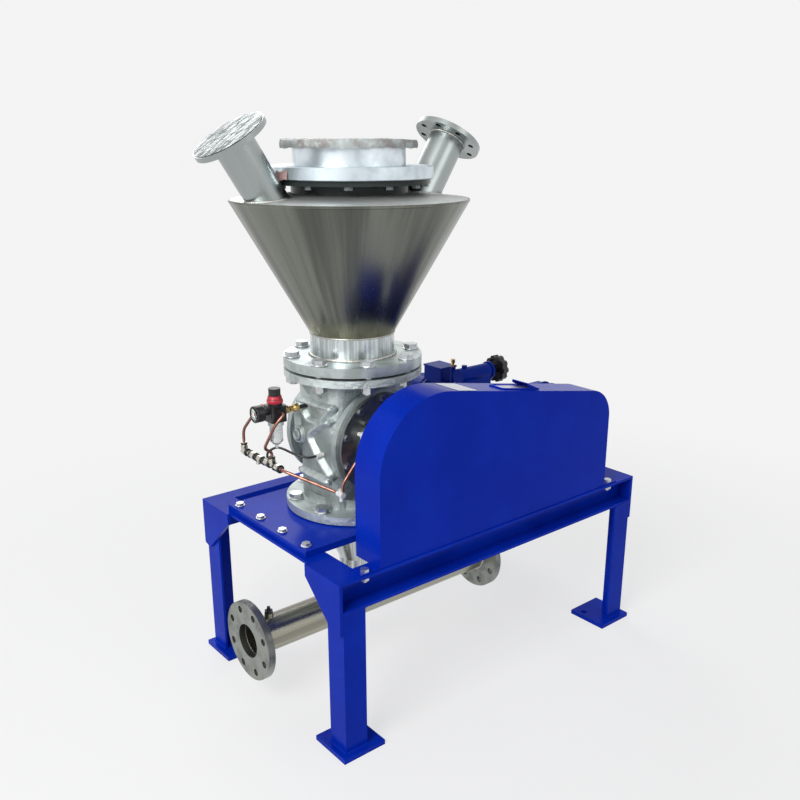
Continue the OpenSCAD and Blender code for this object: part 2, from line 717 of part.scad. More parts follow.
// Inclined tube with its flange, cut off level under the cover
module nozzle(side)
    color("silver") difference() {
        at_nozzle(side) {
            difference() {
                translate([0, 0, -60]) cylinder(h = noz_len + 60 - noz_fl_t, r = noz_r, $fn = 96);
                translate([0, 0, -61]) cylinder(h = noz_len + 80, r = noz_r - noz_wall, $fn = 96);
            }
            translate([0, 0, noz_len - noz_fl_t])
                drilled_flange(noz_fl_r, noz_fl_t, noz_r - 1, noz_pcr, 8, 7);
        }
        at_valve() translate([0, 0, rim_z - 104]) cylinder(h = 100, r = rim_r * 2);
        at_valve() hollow_limit();
    }

// What lies outside the inside face of the cone, so that the tube ends inside it
module hollow_limit()
    rotate_extrude($fn = 96) polygon([
        [rim_r - 3.5, rim_z + 0.2], [rim_r - 3.5, rim_z - 5 - sheet], [rim_r - 70, rim_z - 120],
        [rim_r + 60, rim_z - 120], [rim_r + 60, rim_z + 0.2]]);

module nozzle_left() nozzle(-1);
module nozzle_right() nozzle(1);

// Dark neck between the cover and the heavy ring, with its own flange
module inlet_neck()
    color("darkslategray") at_valve() difference() {
        rotate_extrude($fn = 96) polygon([
            [neck_r - 3, neck_z - 8], [neck_r, neck_z - 8], [neck_r, ring_z - neck_fl_t],
            [neck_fl_r, ring_z - neck_fl_t], [neck_fl_r, ring_z], [neck_r - 3, ring_z]]);
        translate([0, 0, ring_z - neck_fl_t - 1]) around(ring_bolts, ring_pcr, -127)
            cylinder(h = neck_fl_t + 2, r = 6.6, $fn = 24);
    }

// Heavy ring with tapped holes for the neck's bolts
module inlet_ring()
    color("white") at_valve() difference() {
        rotate_extrude($fn = 96) polygon([
            [collar_r - 3, ring_z], [ring_r - 1.5, ring_z], [ring_r, ring_z + 1.5],
            [ring_r, collar_z - 1.5], [ring_r - 1.5, collar_z], [collar_r - 3, collar_z]]);
        translate([0, 0, ring_z - 1]) around(ring_bolts, ring_pcr, -127)
            cylinder(h = 19, r = 6.1, $fn = 24);
        translate([0, 0, collar_z - 4]) cylinder(h = 5, r = collar_r + 0.05, $fn = 96);
    }

// Collar that stands in the ring's recess, with a thin drilled flange on top
module inlet_collar()
    color("lightgray") at_valve() difference() {
        union() {
            zcyl(0, 0, collar_z - 4, inlet_z, collar_r, $fn = 96);
            zcyl(0, 0, inlet_z, inlet_z + inlet_t, inlet_r, $fn = 96);
        }
        zcyl(0, 0, collar_z - 5, inlet_z + inlet_t + 1, collar_r - 3, $fn = 96);
        translate([0, 0, inlet_z - 1]) around(12, inlet_pcr, 15)
            cylinder(h = inlet_t + 2, r = 5.5, $fn = 24);
    }

// Bolts of the neck flange, their heads below it
module ring_bolts_set()
    color("lightsteelblue") at_valve() translate([0, 0, ring_z - neck_fl_t])
        around(ring_bolts, ring_pcr, -127) rotate([180, 0, 0]) hex_screw(12, neck_fl_t + 16);

// ---------------------------------------------------------------- chain drive

// An outline in X, Z drawn out from y0 by depth
module draw_y(y0, depth)
    translate([0, y0 + depth, 0]) rotate([90, 0, 0]) linear_extrude(depth) children();

// The guard's form round the two shafts, grown by e, down to the level base
module guard_block(y0, depth, e, base) {
    lean = asin((guard_big - guard_small) / shaft_dist);
    r1 = guard_big + e;
    r2 = guard_small + e;
    s1 = r1 - 0.05;
    s2 = r2 - 0.05;
    ycyl(valve_x, shaft_z, y0, y0 + depth, r1, $fn = 96);
    ycyl(drive_x, shaft_z, y0, y0 + depth, r2, $fn = 96);
    draw_y(y0, depth) polygon([[valve_x - s1, base], [valve_x - s1, shaft_z - 10],
        [valve_x - s1 / 2, shaft_z], [valve_x + s1 * sin(lean), shaft_z + s1 * cos(lean)],
        [drive_x + s2 * sin(lean), shaft_z + s2 * cos(lean)],
        [drive_x + s2 / 2, shaft_z], [drive_x + s2, shaft_z - 8], [drive_x + s2, base]]);
}

// Places of the two bolts that hold the guard on the front beam
module guard_bolt_places()
    for (x = [valve_x - guard_big - 36, drive_x + guard_small + 28])
        translate([x, -side_y + 15, frame_h]) children();

// Sheet box over the chain: face, rim and two feet on the beam
module guard_cover()
    color("mediumblue") difference() {
        union() {
            guard_block(guard_y, guard_d - guard_t, 0, frame_h);
            translate([valve_x - guard_big - guard_tab, -side_y + 4, frame_h])
                cube([guard_tab + 1, tab_w, guard_t]);
            translate([drive_x + guard_small - 1, -side_y + 4, frame_h])
                cube([guard_tab + 1, tab_w, guard_t]);
        }
        guard_block(guard_y + guard_t, guard_d, -guard_t, frame_h - 10);
        guard_bolt_places() translate([0, 0, -1])
            cylinder(h = guard_t + 2, r = plate_bolt_d / 2 + bolt_gap, $fn = 24);
    }

// Back sheet of the guard, open round the bearing hub and the gear unit's shaft
module guard_back()
    color("mediumblue") difference() {
        guard_block(guard_y + guard_d - guard_t, guard_t, 0, frame_h);
        ycyl(valve_x, shaft_z, guard_y, guard_y + guard_d + 1, hub_r + 12);
        ycyl(drive_x, shaft_z, guard_y, guard_y + guard_d + 1, out_r + 20);
    }

// Folded lug on the guard's back that steadies it near the drive
bracket_x = 150;
module guard_bracket()
    color("mediumblue") translate([bracket_x, guard_y + guard_d, shaft_z + 62]) {
        translate([-30, 0, 0]) cube([34, 3, 34]);
        cube([4, 62, 34]);
    }

// Place of roller i along the pitch line, as X, Z from the valve's shaft
tilt = wrap_tilt(shaft_dist);
run_n = shaft_dist * cos(tilt) / pitch;
big_n = teeth_rotor * (180 + 2 * tilt) / 360;
small_n = teeth_drive * (180 - 2 * tilt) / 360;
// The rotor sprocket's first tooth gap lies at this angle, on the upper tangent point
phase = 90 - tilt;
// The driving sprocket's first gap is where the first roller comes on to it
phase_drive = -phase + (ceil(big_n + run_n) - big_n - run_n) * 360 / teeth_drive;
function on_big(u) = [pr_big * cos(phase + u * 360 / teeth_rotor),
    pr_big * sin(phase + u * 360 / teeth_rotor)];
function on_small(u) = [shaft_dist + pr_small * cos(-phase + u * 360 / teeth_drive),
    pr_small * sin(-phase + u * 360 / teeth_drive)];
function chain_at(u) = u <= big_n ? on_big(u)
    : u <= big_n + run_n ? on_big(big_n) + (on_small(0) - on_big(big_n)) * (u - big_n) / run_n
    : u <= big_n + run_n + small_n ? on_small(u - big_n - run_n)
    : on_small(small_n) + (on_big(0) - on_small(small_n)) * (u - big_n - run_n - small_n) / run_n;

// Flat link plate of one pitch with its two pin holes
module link_plate(hole)
    linear_extrude(link_t) difference() {
        union() {
            circle(link_r, $fn = 24);
            translate([pitch, 0]) circle(link_r, $fn = 24);
            translate([0, -0.8 * link_r]) square([pitch, 1.6 * link_r]);
        }
        if (hole > 0) for (x = [0, pitch]) translate([x, 0]) circle(hole, $fn = 24);
    }

// Inner link: two plates joined by two rollers, bored for the pins
module inner_link()
    difference() {
        union() {
            translate([0, 0, inner_w / 2]) link_plate(0);
            translate([0, 0, -inner_w / 2 - link_t]) link_plate(0);
            for (x = [0, pitch]) translate([x, 0, -inner_w / 2])
                cylinder(h = inner_w, r = roller_r, $fn = 24);
        }
        for (x = [0, pitch]) translate([x, 0, -inner_w])
            cylinder(h = 2 * inner_w, r = pin_r + 0.1, $fn = 24);
    }

// Outer link: two plates on two pins
module outer_link() {
    side = inner_w / 2 + link_t + 0.2;
    translate([0, 0, side]) link_plate(0);
    translate([0, 0, -side - link_t]) link_plate(0);
    for (x = [0, pitch]) translate([x, 0, -side - link_t - 1.5])
        cylinder(h = 2 * (side + link_t + 1.5), r = pin_r, $fn = 24);
}

// Roller chain laid on its pitch line, inner and outer links in turn
module roller_chain()
    color("darkgray") translate([valve_x, chain_y, shaft_z]) rotate([90, 0, 0])
        for (i = [0 : links - 1]) {
            a = chain_at(i);
            b = chain_at(i + 1 < links ? i + 1 : 0);
            translate(a) rotate([0, 0, atan2(b[1] - a[1], b[0] - a[0])])
                if (i % 2 == 0) inner_link(); else outer_link();
        }

// Toothed plate with a gap for each roller, the first gap at angle from
module toothed_plate(n, r, from)
    linear_extrude(inner_w - 0.8) difference() {
        circle(r + 4.6, $fn = 96);
        for (i = [0 : n - 1]) rotate(from + i * 360 / n) translate([r, 0]) {
            circle(roller_r + tooth_gap, $fn = 24);
            polygon([[-0.5, -roller_r], [8, -roller_r - 4.4], [8, roller_r + 4.4],
                [-0.5, roller_r]]);
        }
    }

// A plate sprocket in the chain's plane with its hub and bore, holes to save weight
module sprocket(n, r, from, hub, hub_to, bore, web_r)
    rotate([90, 0, 0]) difference() {
        union() {
            translate([0, 0, -inner_w / 2 + 0.4]) toothed_plate(n, r, from);
            translate([0, 0, -hub_to]) cylinder(h = hub_to, r = hub);
        }
        translate([0, 0, -hub_to - 1]) cylinder(h = hub_to + 20, r = bore + 0.02);
        if (web_r > 0) translate([0, 0, -20]) around(6, web_r, 0) cylinder(h = 40, r = 24);
    }

module rotor_sprocket()
    color("dimgray") translate([valve_x, chain_y, shaft_z])
        sprocket(teeth_rotor, pr_big, phase, 36, 34, shaft_r, 88);

module drive_sprocket()
    color("dimgray") translate([drive_x, chain_y, shaft_z])
        sprocket(teeth_drive, pr_small, phase_drive, 34, 30, out_r, 0);

// ---------------------------------------------------------------- drive

gear_y = -196;
gear_len = 130;
vari_y = gear_y + gear_len;
motor_y = vari_y + vari_len;
base_len = 440;
base_w = 250;

// Places of the base plate's bolts, on its top
module base_bolt_places()
    for (sx = [-1, 1], y = [-170, 210])
        translate([drive_x + sx * drive_tie, y, frame_h + base_t]) children();

// Base plate on the drive's two flat bars, with a welded stool for the gear unit
stool_h = 46;
module drive_base()
    color("royalblue") difference() {
        union() {
            translate([drive_x - base_w / 2, -200, frame_h]) cube([base_w, base_len, base_t]);
            for (x = [-78, 70]) translate([drive_x + x, gear_y + 6, frame_h + base_t])
                cube([8, gear_len - 32, stool_h - 10]);
            translate([drive_x - 90, gear_y, frame_h + base_t + stool_h - 10])
                cube([180, gear_len - 20, 10]);
        }
        base_bolt_places() translate([0, 0, -base_t - 1])
            cylinder(h = base_t + 2, r = plate_bolt_d / 2 + bolt_gap, $fn = 24);
    }

foot_z = frame_h + base_t + stool_h;
// Helical gear unit: foot, ribbed case with the output hub above the input axis
module gear_unit()
    color("royalblue") difference() {
        union() {
            translate([drive_x, 0, (foot_z + shaft_z + 56) / 2])
                draw_y(gear_y + 16, gear_len - 30) translate([0, 0])
                    round_rect(140, shaft_z + 56 - foot_z, 22);
            translate([drive_x - 86, gear_y + 8, foot_z]) cube([172, gear_len - 30, 16]);
            ycyl(drive_x, shaft_z, gear_y, gear_y + 20, 46);
            ycyl(drive_x, motor_z, gear_y + gear_len - 16, vari_y, vari_r - 4, $fn = 96);
            for (y = [gear_y + 40, gear_y + 64, gear_y + 88])
                translate([drive_x, 0, (foot_z + shaft_z + 60) / 2])
                    draw_y(y, 5) round_rect(150, shaft_z + 60 - foot_z, 26);
        }
        ycyl(drive_x, shaft_z, gear_y - 1, gear_y + 90, out_r + run_gap);
    }

// Output shaft in the gear unit's bore, out to the driving sprocket
module output_shaft()
    color("gainsboro") {
        ycyl(drive_x, shaft_z, chain_y - 12, gear_y + 88, out_r);
        ycyl(drive_x, shaft_z, chain_y - 17, chain_y - 12, out_r + 8);
    }

control_y = motor_y - 24;
control_z = motor_z + control_up;
// Variator casing with its control housing across the top
module variator()
    color("royalblue") difference() {
        union() {
            ycyl(drive_x, motor_z, vari_y, vari_y + 14, vari_r, $fn = 96);
            ycyl(drive_x, motor_z, vari_y + 14, motor_y - 14, vari_r - 8, $fn = 96);
            ycyl(drive_x, motor_z, motor_y - 14, motor_y, vari_r, $fn = 96);
            xcyl(control_y, control_z, drive_x - 69, drive_x + 55, control_r);
            xcyl(control_y, control_z, drive_x + 49, drive_x + 56, control_r + 4);
            translate([drive_x - 55, control_y - 20, motor_z + 60])
                cube([100, 40, control_up - 60]);
            zcyl(drive_x - 45, control_y, control_z, control_z + 30, 8);
        }
        xcyl(control_y, control_z, drive_x + 20, drive_x + 80, 7 + run_gap);
    }

// Scalloped handwheel on the control spindle
module handwheel()
    color("black") translate([drive_x + 57, control_y, control_z]) rotate([0, 90, 0]) {
        difference() {
            translate([0, 0, 22]) cylinder(h = wheel_t, r = wheel_r, $fn = 96);
            translate([0, 0, 21]) difference() {
                cylinder(h = 9, r = wheel_r - 10);
                cylinder(h = 9, r = 12);
            }
            for (i = [0 : scallops - 1]) rotate([0, 0, i * 360 / scallops])
                translate([wheel_r + 4, 0, 21]) cylinder(h = wheel_t + 2, r = 8.5, $fn = 32);
        }
        translate([0, 0, 2]) cylinder(h = 22, r = 10);
        translate([0, 0, -36]) cylinder(h = 40, r = 7);
    }

box_y = motor_y + 132;
vent_x = -35;
vent_y = motor_y + 36;
vent_z = motor_z + 130;
// Finned motor frame with the seat of its terminal box and a vent pillar
module motor()
    color("royalblue") {
        ycyl(drive_x, motor_z, motor_y, motor_y + 12, vari_r - 6, $fn = 96);
        ycyl(drive_x, motor_z, motor_y + 12, motor_y + motor_len, motor_r - 8, $fn = 96);
        for (i = [0 : 35]) translate([drive_x, motor_y + 12, motor_z]) rotate([-90, i * 10 + 5, 0])
            translate([motor_r - 12, -1.3, 0]) cube([11, 2.6, motor_len - 20]);
        ycyl(drive_x, motor_z, motor_y + motor_len - 12, motor_y + motor_len, motor_r, $fn = 96);
        translate([drive_x - 27, box_y - 34, motor_z + 30]) cube([54, 68, motor_r - 30]);
        zcyl(drive_x + vent_x, vent_y, motor_z + 30, vent_z, 7);
    }

cowl_len = 52;
// Fan cowl with round air slots in its end
module fan_cowl()
    color("royalblue") translate([drive_x, motor_y + motor_len, motor_z]) rotate([-90, 0, 0])
        difference() {
            union() {
                cylinder(h = cowl_len - 8, r = motor_r + 3, $fn = 96);
                translate([0, 0, cowl_len - 8]) cylinder(h = 8, r1 = motor_r + 3,
                    r2 = motor_r - 8, $fn = 96);
            }
            for (k = [1 : 4]) around(6 * k, 11 * k + 3, 7 * k)
                translate([0, 0, cowl_len - 5]) cylinder(h = 10, r = 3.6, $fn = 16);
        }

// Terminal box on the motor with a lid and a cable gland hole
module terminal_box()
    color("royalblue") translate([drive_x, box_y, motor_z + motor_r]) {
        difference() {
            translate([-31, -38, 0]) cube([62, 76, 42]);
            xcyl(0, 20, 25, 40, 8);
        }
        translate([-33, -40, 42]) cube([66, 80, 5]);
    }

// Brass breather that stands on the variator's filler pillar
module breather()
    color("gold") translate([drive_x + vent_x, vent_y, vent_z]) {
        cylinder(h = 6, r = 7, $fn = 6);
        cylinder(h = 18, r = 4);
        translate([0, 0, 12]) cylinder(h = 11, r = 6.5);
    }

// ---------------------------------------------------------------- seal air

module at_air() translate([valve_x - air_x, valve_y + air_y, shaft_z + air_z]) children();

body_w = 42;
// Regulator block with its ports, on a stud screwed into the casting
module regulator_body()
    color("black") at_air() difference() {
        union() {
            translate([0, 0, -20]) linear_extrude(40) round_rect(body_w, body_w, 6);
            cylinder(h = 24, r = 17);
            xcyl(0, 6, -34, 0, 8);
            ycyl(0, 6, 0, 28, 9);
            ycyl(0, 6, -28, 0, 9);
            xcyl(-4, 3, 0, air_x - throat_x, 5);
        }
        translate([0, 0, 20]) cylinder(h = 10, r = 6 + run_gap);
        xcyl(0, 6, -35, -24, 5.05);
    }

// Knob that sets the pressure, with its locking ring below
module regulator_knob()
    color("dimgray") at_air() {
        translate([0, 0, 20.5]) cylinder(h = 5, r = 6);
        translate([0, 0, 24.4]) cylinder(h = 11, r = 18);
        translate([0, 0, 35]) difference() {
            cylinder(h = 26, r = 14.5);
            for (i = [0 : 11]) rotate([0, 0, i * 30]) translate([15.5, 0, -1])
                cylinder(h = 28, r = 2, $fn = 16);
        }
    }

// Clear bowl with a drain under the regulator
module filter_bowl()
    color("lightcyan") at_air() {
        translate([0, 0, -30]) cylinder(h = 10, r = 19);
        translate([0, 0, -70]) cylinder(h = 42, r = 16);
        translate([0, 0, -78]) cylinder(h = 8, r1 = 9, r2 = 16);
        translate([0, 0, -88]) cylinder(h = 10, r = 4);
    }

gauge_r = 20;
// Pressure gauge with a recessed dial that faces -X
module pressure_gauge()
    color("white") at_air() difference() {
        union() {
            xcyl(0, 6, -58, -37, gauge_r);
            xcyl(0, 6, -38, -26, 5);
        }
        xcyl(0, 6, -59, -54, gauge_r - 2.5);
        xcyl(0, 6, -59, -48, 1.3 + run_gap, $fn = 24);
    }

// Pointer on its spindle in front of the dial
module gauge_needle()
    color("red") at_air() translate([-54.6, 0, 6]) rotate([0, -90, 0]) {
        translate([0, 0, -5]) cylinder(h = 6, r = 1.3, $fn = 24);
        translate([0, 0, 0]) cylinder(h = 1.4, r = 2.6, $fn = 24);
        rotate([0, 0, 210]) translate([-4, -0.7, 0]) cube([17, 1.4, 1]);
    }

man_x = -22;
man_z = -141;
// Row of brass tees and nuts along Y under the regulator
module air_manifold()
    color("gainsboro") at_air() translate([0, 0, man_z]) {
        ycyl(0, 0, -14, 168, 6.5);
        for (y = [-8, 40, 74, 108, 150]) ycyl(0, 0, y, y + 16, 10, $fn = 6);
        zcyl(0, 26, 0, 22, 7);
        zcyl(0, 162, 0, 24, 7);
        zcyl(0, 26, 8, 16, 10, $fn = 6);
        zcyl(0, 162, 8, 16, 10, $fn = 6);
        zcyl(0, 94, -16, 0, 6);
        zcyl(0, 48, 0, 14, 5);
    }

// Copper tubes: two from the regulator to the manifold, one on to the front cover
port_out = 16;
tee_at = [air_x - 132, front_y - cover_t - port_out + 8 - air_y, -98 - air_z];
port_at = [air_x - 72, front_y - cover_t - port_out - air_y, 38 - air_z];
module copper_tubes()
    color("peru") at_air() {
        bent_rod([[0, 28, 6], [0, 66, 6], [0, 92, -16], [0, 162, -84], [0, 162, man_z + 24]], tube_r);
        bent_rod([[0, -28, 6], [0, -38, 6], [-25, -34, -14], [-25, 24, -96],
            [0, 26, man_z + 32], [0, 26, man_z + 22]], tube_r);
        bent_rod([[0, -14, man_z], [0, -32, man_z], tee_at + [0, 28, 0], tee_at + [0, 14, 0]],
            tube_r);
        bent_rod([tee_at + [0, 0, 14], tee_at + [0, 0, 26], port_at - [0, 0, 26],
            port_at - [0, 0, 14]], tube_r);
    }

port_up = man_z + 35;
// Black hose from the manifold to the rear cover's seal port
module air_hose()
    color("black") at_air() bent_rod([[0, 48, man_z + 14], [0, 48, man_z + 24],
        [14, 30, man_z + 42], [14, 0, man_z + 48], [24, -46, man_z + 41], [44, -70, port_up],
        [66, -70, port_up]], 3);

// White push-in tee and elbows with a black plug
module push_fittings()
    color("white") at_air() {
        translate(tee_at) {
            ycyl(0, 0, -8, 14, 7);
            zcyl(0, 0, 0, 14, 7);
            zcyl(0, 0, -16, 0, 5);
        }
        translate(port_at) {
            zcyl(0, 0, -14, 8, 6.5);
            ycyl(0, 0, 0, port_out, 5);
        }
        xcyl(-70, port_up, 66, air_x - throat_x, 5.5);
    }

front_beam();
back_beam();
cross_ties();
leg_front_left();
leg_front_right();
leg_back_left();
leg_back_right();
foot_plates();
corner_gussets();
support_plate_front();
support_plate_back();
frame_bolts();
valve_housing();
end_cover_front();
end_cover_rear();
cover_bolts_set();
shaft_bearings();
flange_gaskets();
inlet_bolts();
outlet_bolts();
drop_out();
conveying_pipe();
pipe_flanges();
purge_plug();
spigot_flange();
hopper_shell();
hopper_cover();
nozzle_left();
nozzle_right();
inlet_neck();
inlet_ring();
inlet_collar();
ring_bolts_set();
guard_cover();
guard_back();
guard_bracket();
roller_chain();
drive_base();
gear_unit();
variator();
motor();
fan_cowl();
terminal_box();
breather();
regulator_body();
filter_bowl();
pressure_gauge();
air_manifold();
copper_tubes();
air_hose();
push_fittings();
rotor();
rotor_sprocket();
output_shaft();
drive_sprocket();
handwheel();
regulator_knob();
gauge_needle();
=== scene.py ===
import json
from math import cos, pi, radians, sin

import bmesh
import bpy
import numpy as np
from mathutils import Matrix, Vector


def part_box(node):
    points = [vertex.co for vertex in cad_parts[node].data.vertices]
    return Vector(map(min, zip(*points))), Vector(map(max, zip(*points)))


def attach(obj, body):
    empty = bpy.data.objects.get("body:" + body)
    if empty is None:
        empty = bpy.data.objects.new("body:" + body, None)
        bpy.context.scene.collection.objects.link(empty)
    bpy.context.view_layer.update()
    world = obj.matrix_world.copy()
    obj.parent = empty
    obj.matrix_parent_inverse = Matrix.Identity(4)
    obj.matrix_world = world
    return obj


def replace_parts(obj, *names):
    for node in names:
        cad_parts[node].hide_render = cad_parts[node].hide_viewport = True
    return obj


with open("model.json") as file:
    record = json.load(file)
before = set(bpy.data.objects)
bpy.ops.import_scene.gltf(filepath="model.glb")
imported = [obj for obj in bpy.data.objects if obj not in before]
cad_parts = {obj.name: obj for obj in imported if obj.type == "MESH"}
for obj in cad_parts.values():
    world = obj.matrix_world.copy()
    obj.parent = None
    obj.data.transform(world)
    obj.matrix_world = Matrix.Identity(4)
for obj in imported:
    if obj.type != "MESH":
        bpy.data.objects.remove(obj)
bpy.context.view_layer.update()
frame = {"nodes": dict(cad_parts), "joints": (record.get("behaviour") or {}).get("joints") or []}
nodes = frame["nodes"]


# ---- Frame of angles and channels
# Welded from rolled angles, channels and flat bars, then sprayed deep blue.
# The paint is glossy, with the fine orange peel and dust of a spray coat.

class Amount:
    """A number that changes over a surface. Each operator adds one Math node."""

    def __init__(self, finish, socket):
        self.finish, self.socket = finish, socket

    def maths(self, operation, *others):
        values = [self.socket] + [getattr(o, "socket", o) for o in others]
        node = self.finish.node("Math", {"operation": operation}, dict(enumerate(values)))
        return Amount(self.finish, node.outputs[0])

    def swapped(self, operation, other):
        node = self.finish.node("Math", {"operation": operation}, {0: other, 1: self.socket})
        return Amount(self.finish, node.outputs[0])

    def __add__(self, other):
        return self.maths("ADD", other)

    __radd__ = __add__

    def __sub__(self, other):
        return self.maths("SUBTRACT", other)

    def __rsub__(self, other):
        return self.swapped("SUBTRACT", other)

    def __mul__(self, other):
        return self.maths("MULTIPLY", other)

    __rmul__ = __mul__

    def __truediv__(self, other):
        return self.maths("DIVIDE", other)


class Finish:
    """A paint, metal or plastic: one Principled shader and the nodes that vary it."""

    def __init__(self, name, **constants):
        self.material = bpy.data.materials.new(name)
        self.material.use_nodes = True
        self.tree = self.material.node_tree
        self.shader = self.tree.nodes["Principled BSDF"]
        self.place = None
        for socket, value in constants.items():
            self.shader.inputs[socket.replace("_", " ")].default_value = value

    def node(self, kind, settings=None, values=None):
        """Adds a shader node: its settings first, then the values or links of its sockets."""
        made = self.tree.nodes.new("ShaderNode" + kind)
        for key, value in (settings or {}).items():
            setattr(made, key, value)
        for key, value in (values or {}).items():
            value = getattr(value, "socket", value)
            if isinstance(value, bpy.types.NodeSocket):
                self.tree.links.new(value, made.inputs[key])
            else:
                made.inputs[key].default_value = value
        return made

    def point(self):
        """The place on the piece, in metres, in the frame that all pieces share."""
        if self.place is None:
            self.place = self.node("TexCoord").outputs["Object"]
        return self.place

    def grain(self, scale, detail=3.0, rough=0.55, at=None):
        """Noise from 0 to 1 with that many grains to the metre."""
        made = self.node("TexNoise", {}, {"Vector": at or self.point(), "Scale": scale,
                                          "Detail": detail, "Roughness": rough})
        return Amount(self, made.outputs[0])

    def band(self, amount, low, high):
        """0 below low, 1 above high and smooth between."""
        made = self.node("MapRange", {"interpolation_type": "SMOOTHSTEP"},
                         {0: amount, 1: low, 2: high, 3: 0.0, 4: 1.0})
        return Amount(self, made.outputs[0])

    def blend(self, share, low, high):
        """A colour between low and high, each a colour or a socket."""
        made = self.node("Mix", {"data_type": "RGBA"}, {0: share})
        for index, value in ((6, low), (7, high)):
            if isinstance(value, bpy.types.NodeSocket):
                self.tree.links.new(value, made.inputs[index])
            else:
                made.inputs[index].default_value = (*value, 1)
        return made.outputs[2]

    def about(self, axis, centre):
        """Distance from a line along X, Y or Z through centre, and the unit arm to it."""
        parts = self.node("SeparateXYZ", {}, {0: self.point()}).outputs
        a, b = [i for i in range(3) if i != axis]
        u = Amount(self, parts[a]) - centre[a]
        v = Amount(self, parts[b]) - centre[b]
        far = (u * u + v * v).maths("SQRT")
        return far, u / far, v / far, Amount(self, parts[axis])

    def paint(self, colour=None, rough=None, bump=None, depth=0.0002, strength=0.5):
        """Feeds the shader's colour and roughness, and a bump of that depth in metres."""
        if colour is not None:
            self.tree.links.new(colour, self.shader.inputs["Base Color"])
        if rough is not None:
            self.tree.links.new(rough.socket, self.shader.inputs["Roughness"])
        if bump is not None:
            made = self.node("Bump", {}, {"Height": bump, "Distance": depth,
                                          "Strength": strength})
            self.tree.links.new(made.outputs[0], self.shader.inputs["Normal"])
        return self

    def on(self, *names):
        """Puts the finish on CAD nodes."""
        for name in names:
            for place in nodes[name].material_slots:
                place.material = self.material
        return self


def sprayed(name, dark, light, peel, gloss):
    """Sprayed paint: colour drifts slowly, dust dulls it, orange peel bumps it."""
    made = Finish(name, Specular_IOR_Level=gloss)
    drift = made.band(made.grain(5.0, 4.0), 0.35, 0.7)
    dust = made.band(made.grain(75.0, 6.0, 0.7), 0.55, 0.8)
    colour = made.blend(drift, dark, light)
    colour = made.blend(dust * 0.04, colour, (0.10, 0.17, 0.45))
    rough = 0.20 + drift * 0.05 + dust * 0.14
    skin = made.grain(260.0, 1.0) * 0.35 + made.grain(40.0, 1.0)
    return made.paint(colour, rough, skin, peel, 0.25)


frame_paint = sprayed("frame_blue", (0.0010, 0.019, 0.33), (0.0014, 0.028, 0.42), 0.0005, 0.045)
frame_paint.on("front_beam", "back_beam", "cross_ties", "leg_front_left", "leg_front_right",
               "leg_back_left", "leg_back_right", "foot_plates", "corner_gussets",
               "support_plate_front", "support_plate_back", "drive_base")


def grid_faces(rows, columns, around=False, along=False):
    """Quads of a grid of points, closed round its columns or along its rows if asked:
    each joins the points (i, j), (i, j + 1), (i + 1, j + 1) and (i + 1, j)."""
    i, j = np.meshgrid(np.arange(rows if along else rows - 1),
                       np.arange(columns if around else columns - 1), indexing="ij")
    i, j = i.ravel(), j.ravel()
    k, m = (i + 1) % rows, (j + 1) % columns
    return np.stack([i * columns + j, i * columns + m, k * columns + m, k * columns + j], 1)


def surface(name, points, finish, body, slot, around=False, along=False, shell=False):
    """A piece from a grid of points, rows by columns, closed around or along if asked."""
    faces = grid_faces(*points.shape[:2], around, along)
    return piece(name, points.reshape(-1, 3), faces, finish, body, slot, shell=shell)


def piece(name, points, faces, finish, body, slot, smooth=True, shell=False):
    """A mesh from arrays of points and faces, in metres, that rides on a CAD body. A
    closed shell has its doubles merged and its faces turned outwards."""
    mesh = bpy.data.meshes.new(name)
    mesh.from_pydata(np.asarray(points, float).tolist(), [], np.asarray(faces).tolist())
    if shell:
        work = bmesh.new()
        work.from_mesh(mesh)
        bmesh.ops.remove_doubles(work, verts=work.verts, dist=1e-6)
        bmesh.ops.recalc_face_normals(work, faces=work.faces)
        work.to_mesh(mesh)
        work.free()
    mesh.shade_smooth() if smooth else mesh.shade_flat()
    mesh.materials.append(finish.material)
    made = bpy.data.objects.new(name, mesh)
    bpy.context.scene.collection.objects.link(made)
    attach(made, body)
    return made


def joined(parts):
    """One array of points and one of faces from several pairs, each pair's faces shifted."""
    points, faces, count = [], [], 0
    for more, shapes in parts:
        points.append(more)
        faces.append(np.asarray(shapes) + count)
        count += len(more)
    return np.concatenate(points), np.concatenate(faces)


def tube(path, radius, sides=12, ripple=0.0, pitch=0.004, closed=False, seed=None):
    """Points and quads of a round bar along a path: each ring lies across the path's
    tangent, and its radius swells by ripple once every pitch, as a weld bead does. The
    ring starts on the side that a seed vector gives."""
    path = np.asarray(path, float)
    step = (np.roll(path, -1, 0) - np.roll(path, 1, 0)) if closed else np.gradient(path, axis=0)
    tangent = step / np.linalg.norm(step, axis=1)[:, None]
    if seed is None:
        seed = np.where(np.abs(tangent[:, 2:3]) < 0.9, [[0.0, 0.0, 1.0]], [[1.0, 0.0, 0.0]])
    side = np.cross(tangent, np.asarray(seed, float))
    side /= np.linalg.norm(side, axis=1)[:, None]
    rise = np.cross(side, tangent)
    run = np.concatenate([[0], np.cumsum(np.linalg.norm(np.diff(path, axis=0), axis=1))])
    swell = radius * (1 + ripple * np.abs(np.sin(pi * run / pitch)))
    turn = np.arange(sides) * 2 * pi / sides
    ring = (np.cos(turn)[None, :, None] * side[:, None, :]
            + np.sin(turn)[None, :, None] * rise[:, None, :])
    points = path[:, None, :] + swell[:, None, None] * ring
    return points.reshape(-1, 3), grid_faces(len(path), sides, True, closed)[:, [0, 3, 2, 1]]


def line(start, end, gap=0.0015):
    """Evenly spaced points from start to end, one every gap."""
    start, end = np.asarray(start, float), np.asarray(end, float)
    count = max(int(np.linalg.norm(end - start) / gap), 2)
    return start + (end - start) * np.linspace(0, 1, count)[:, None]


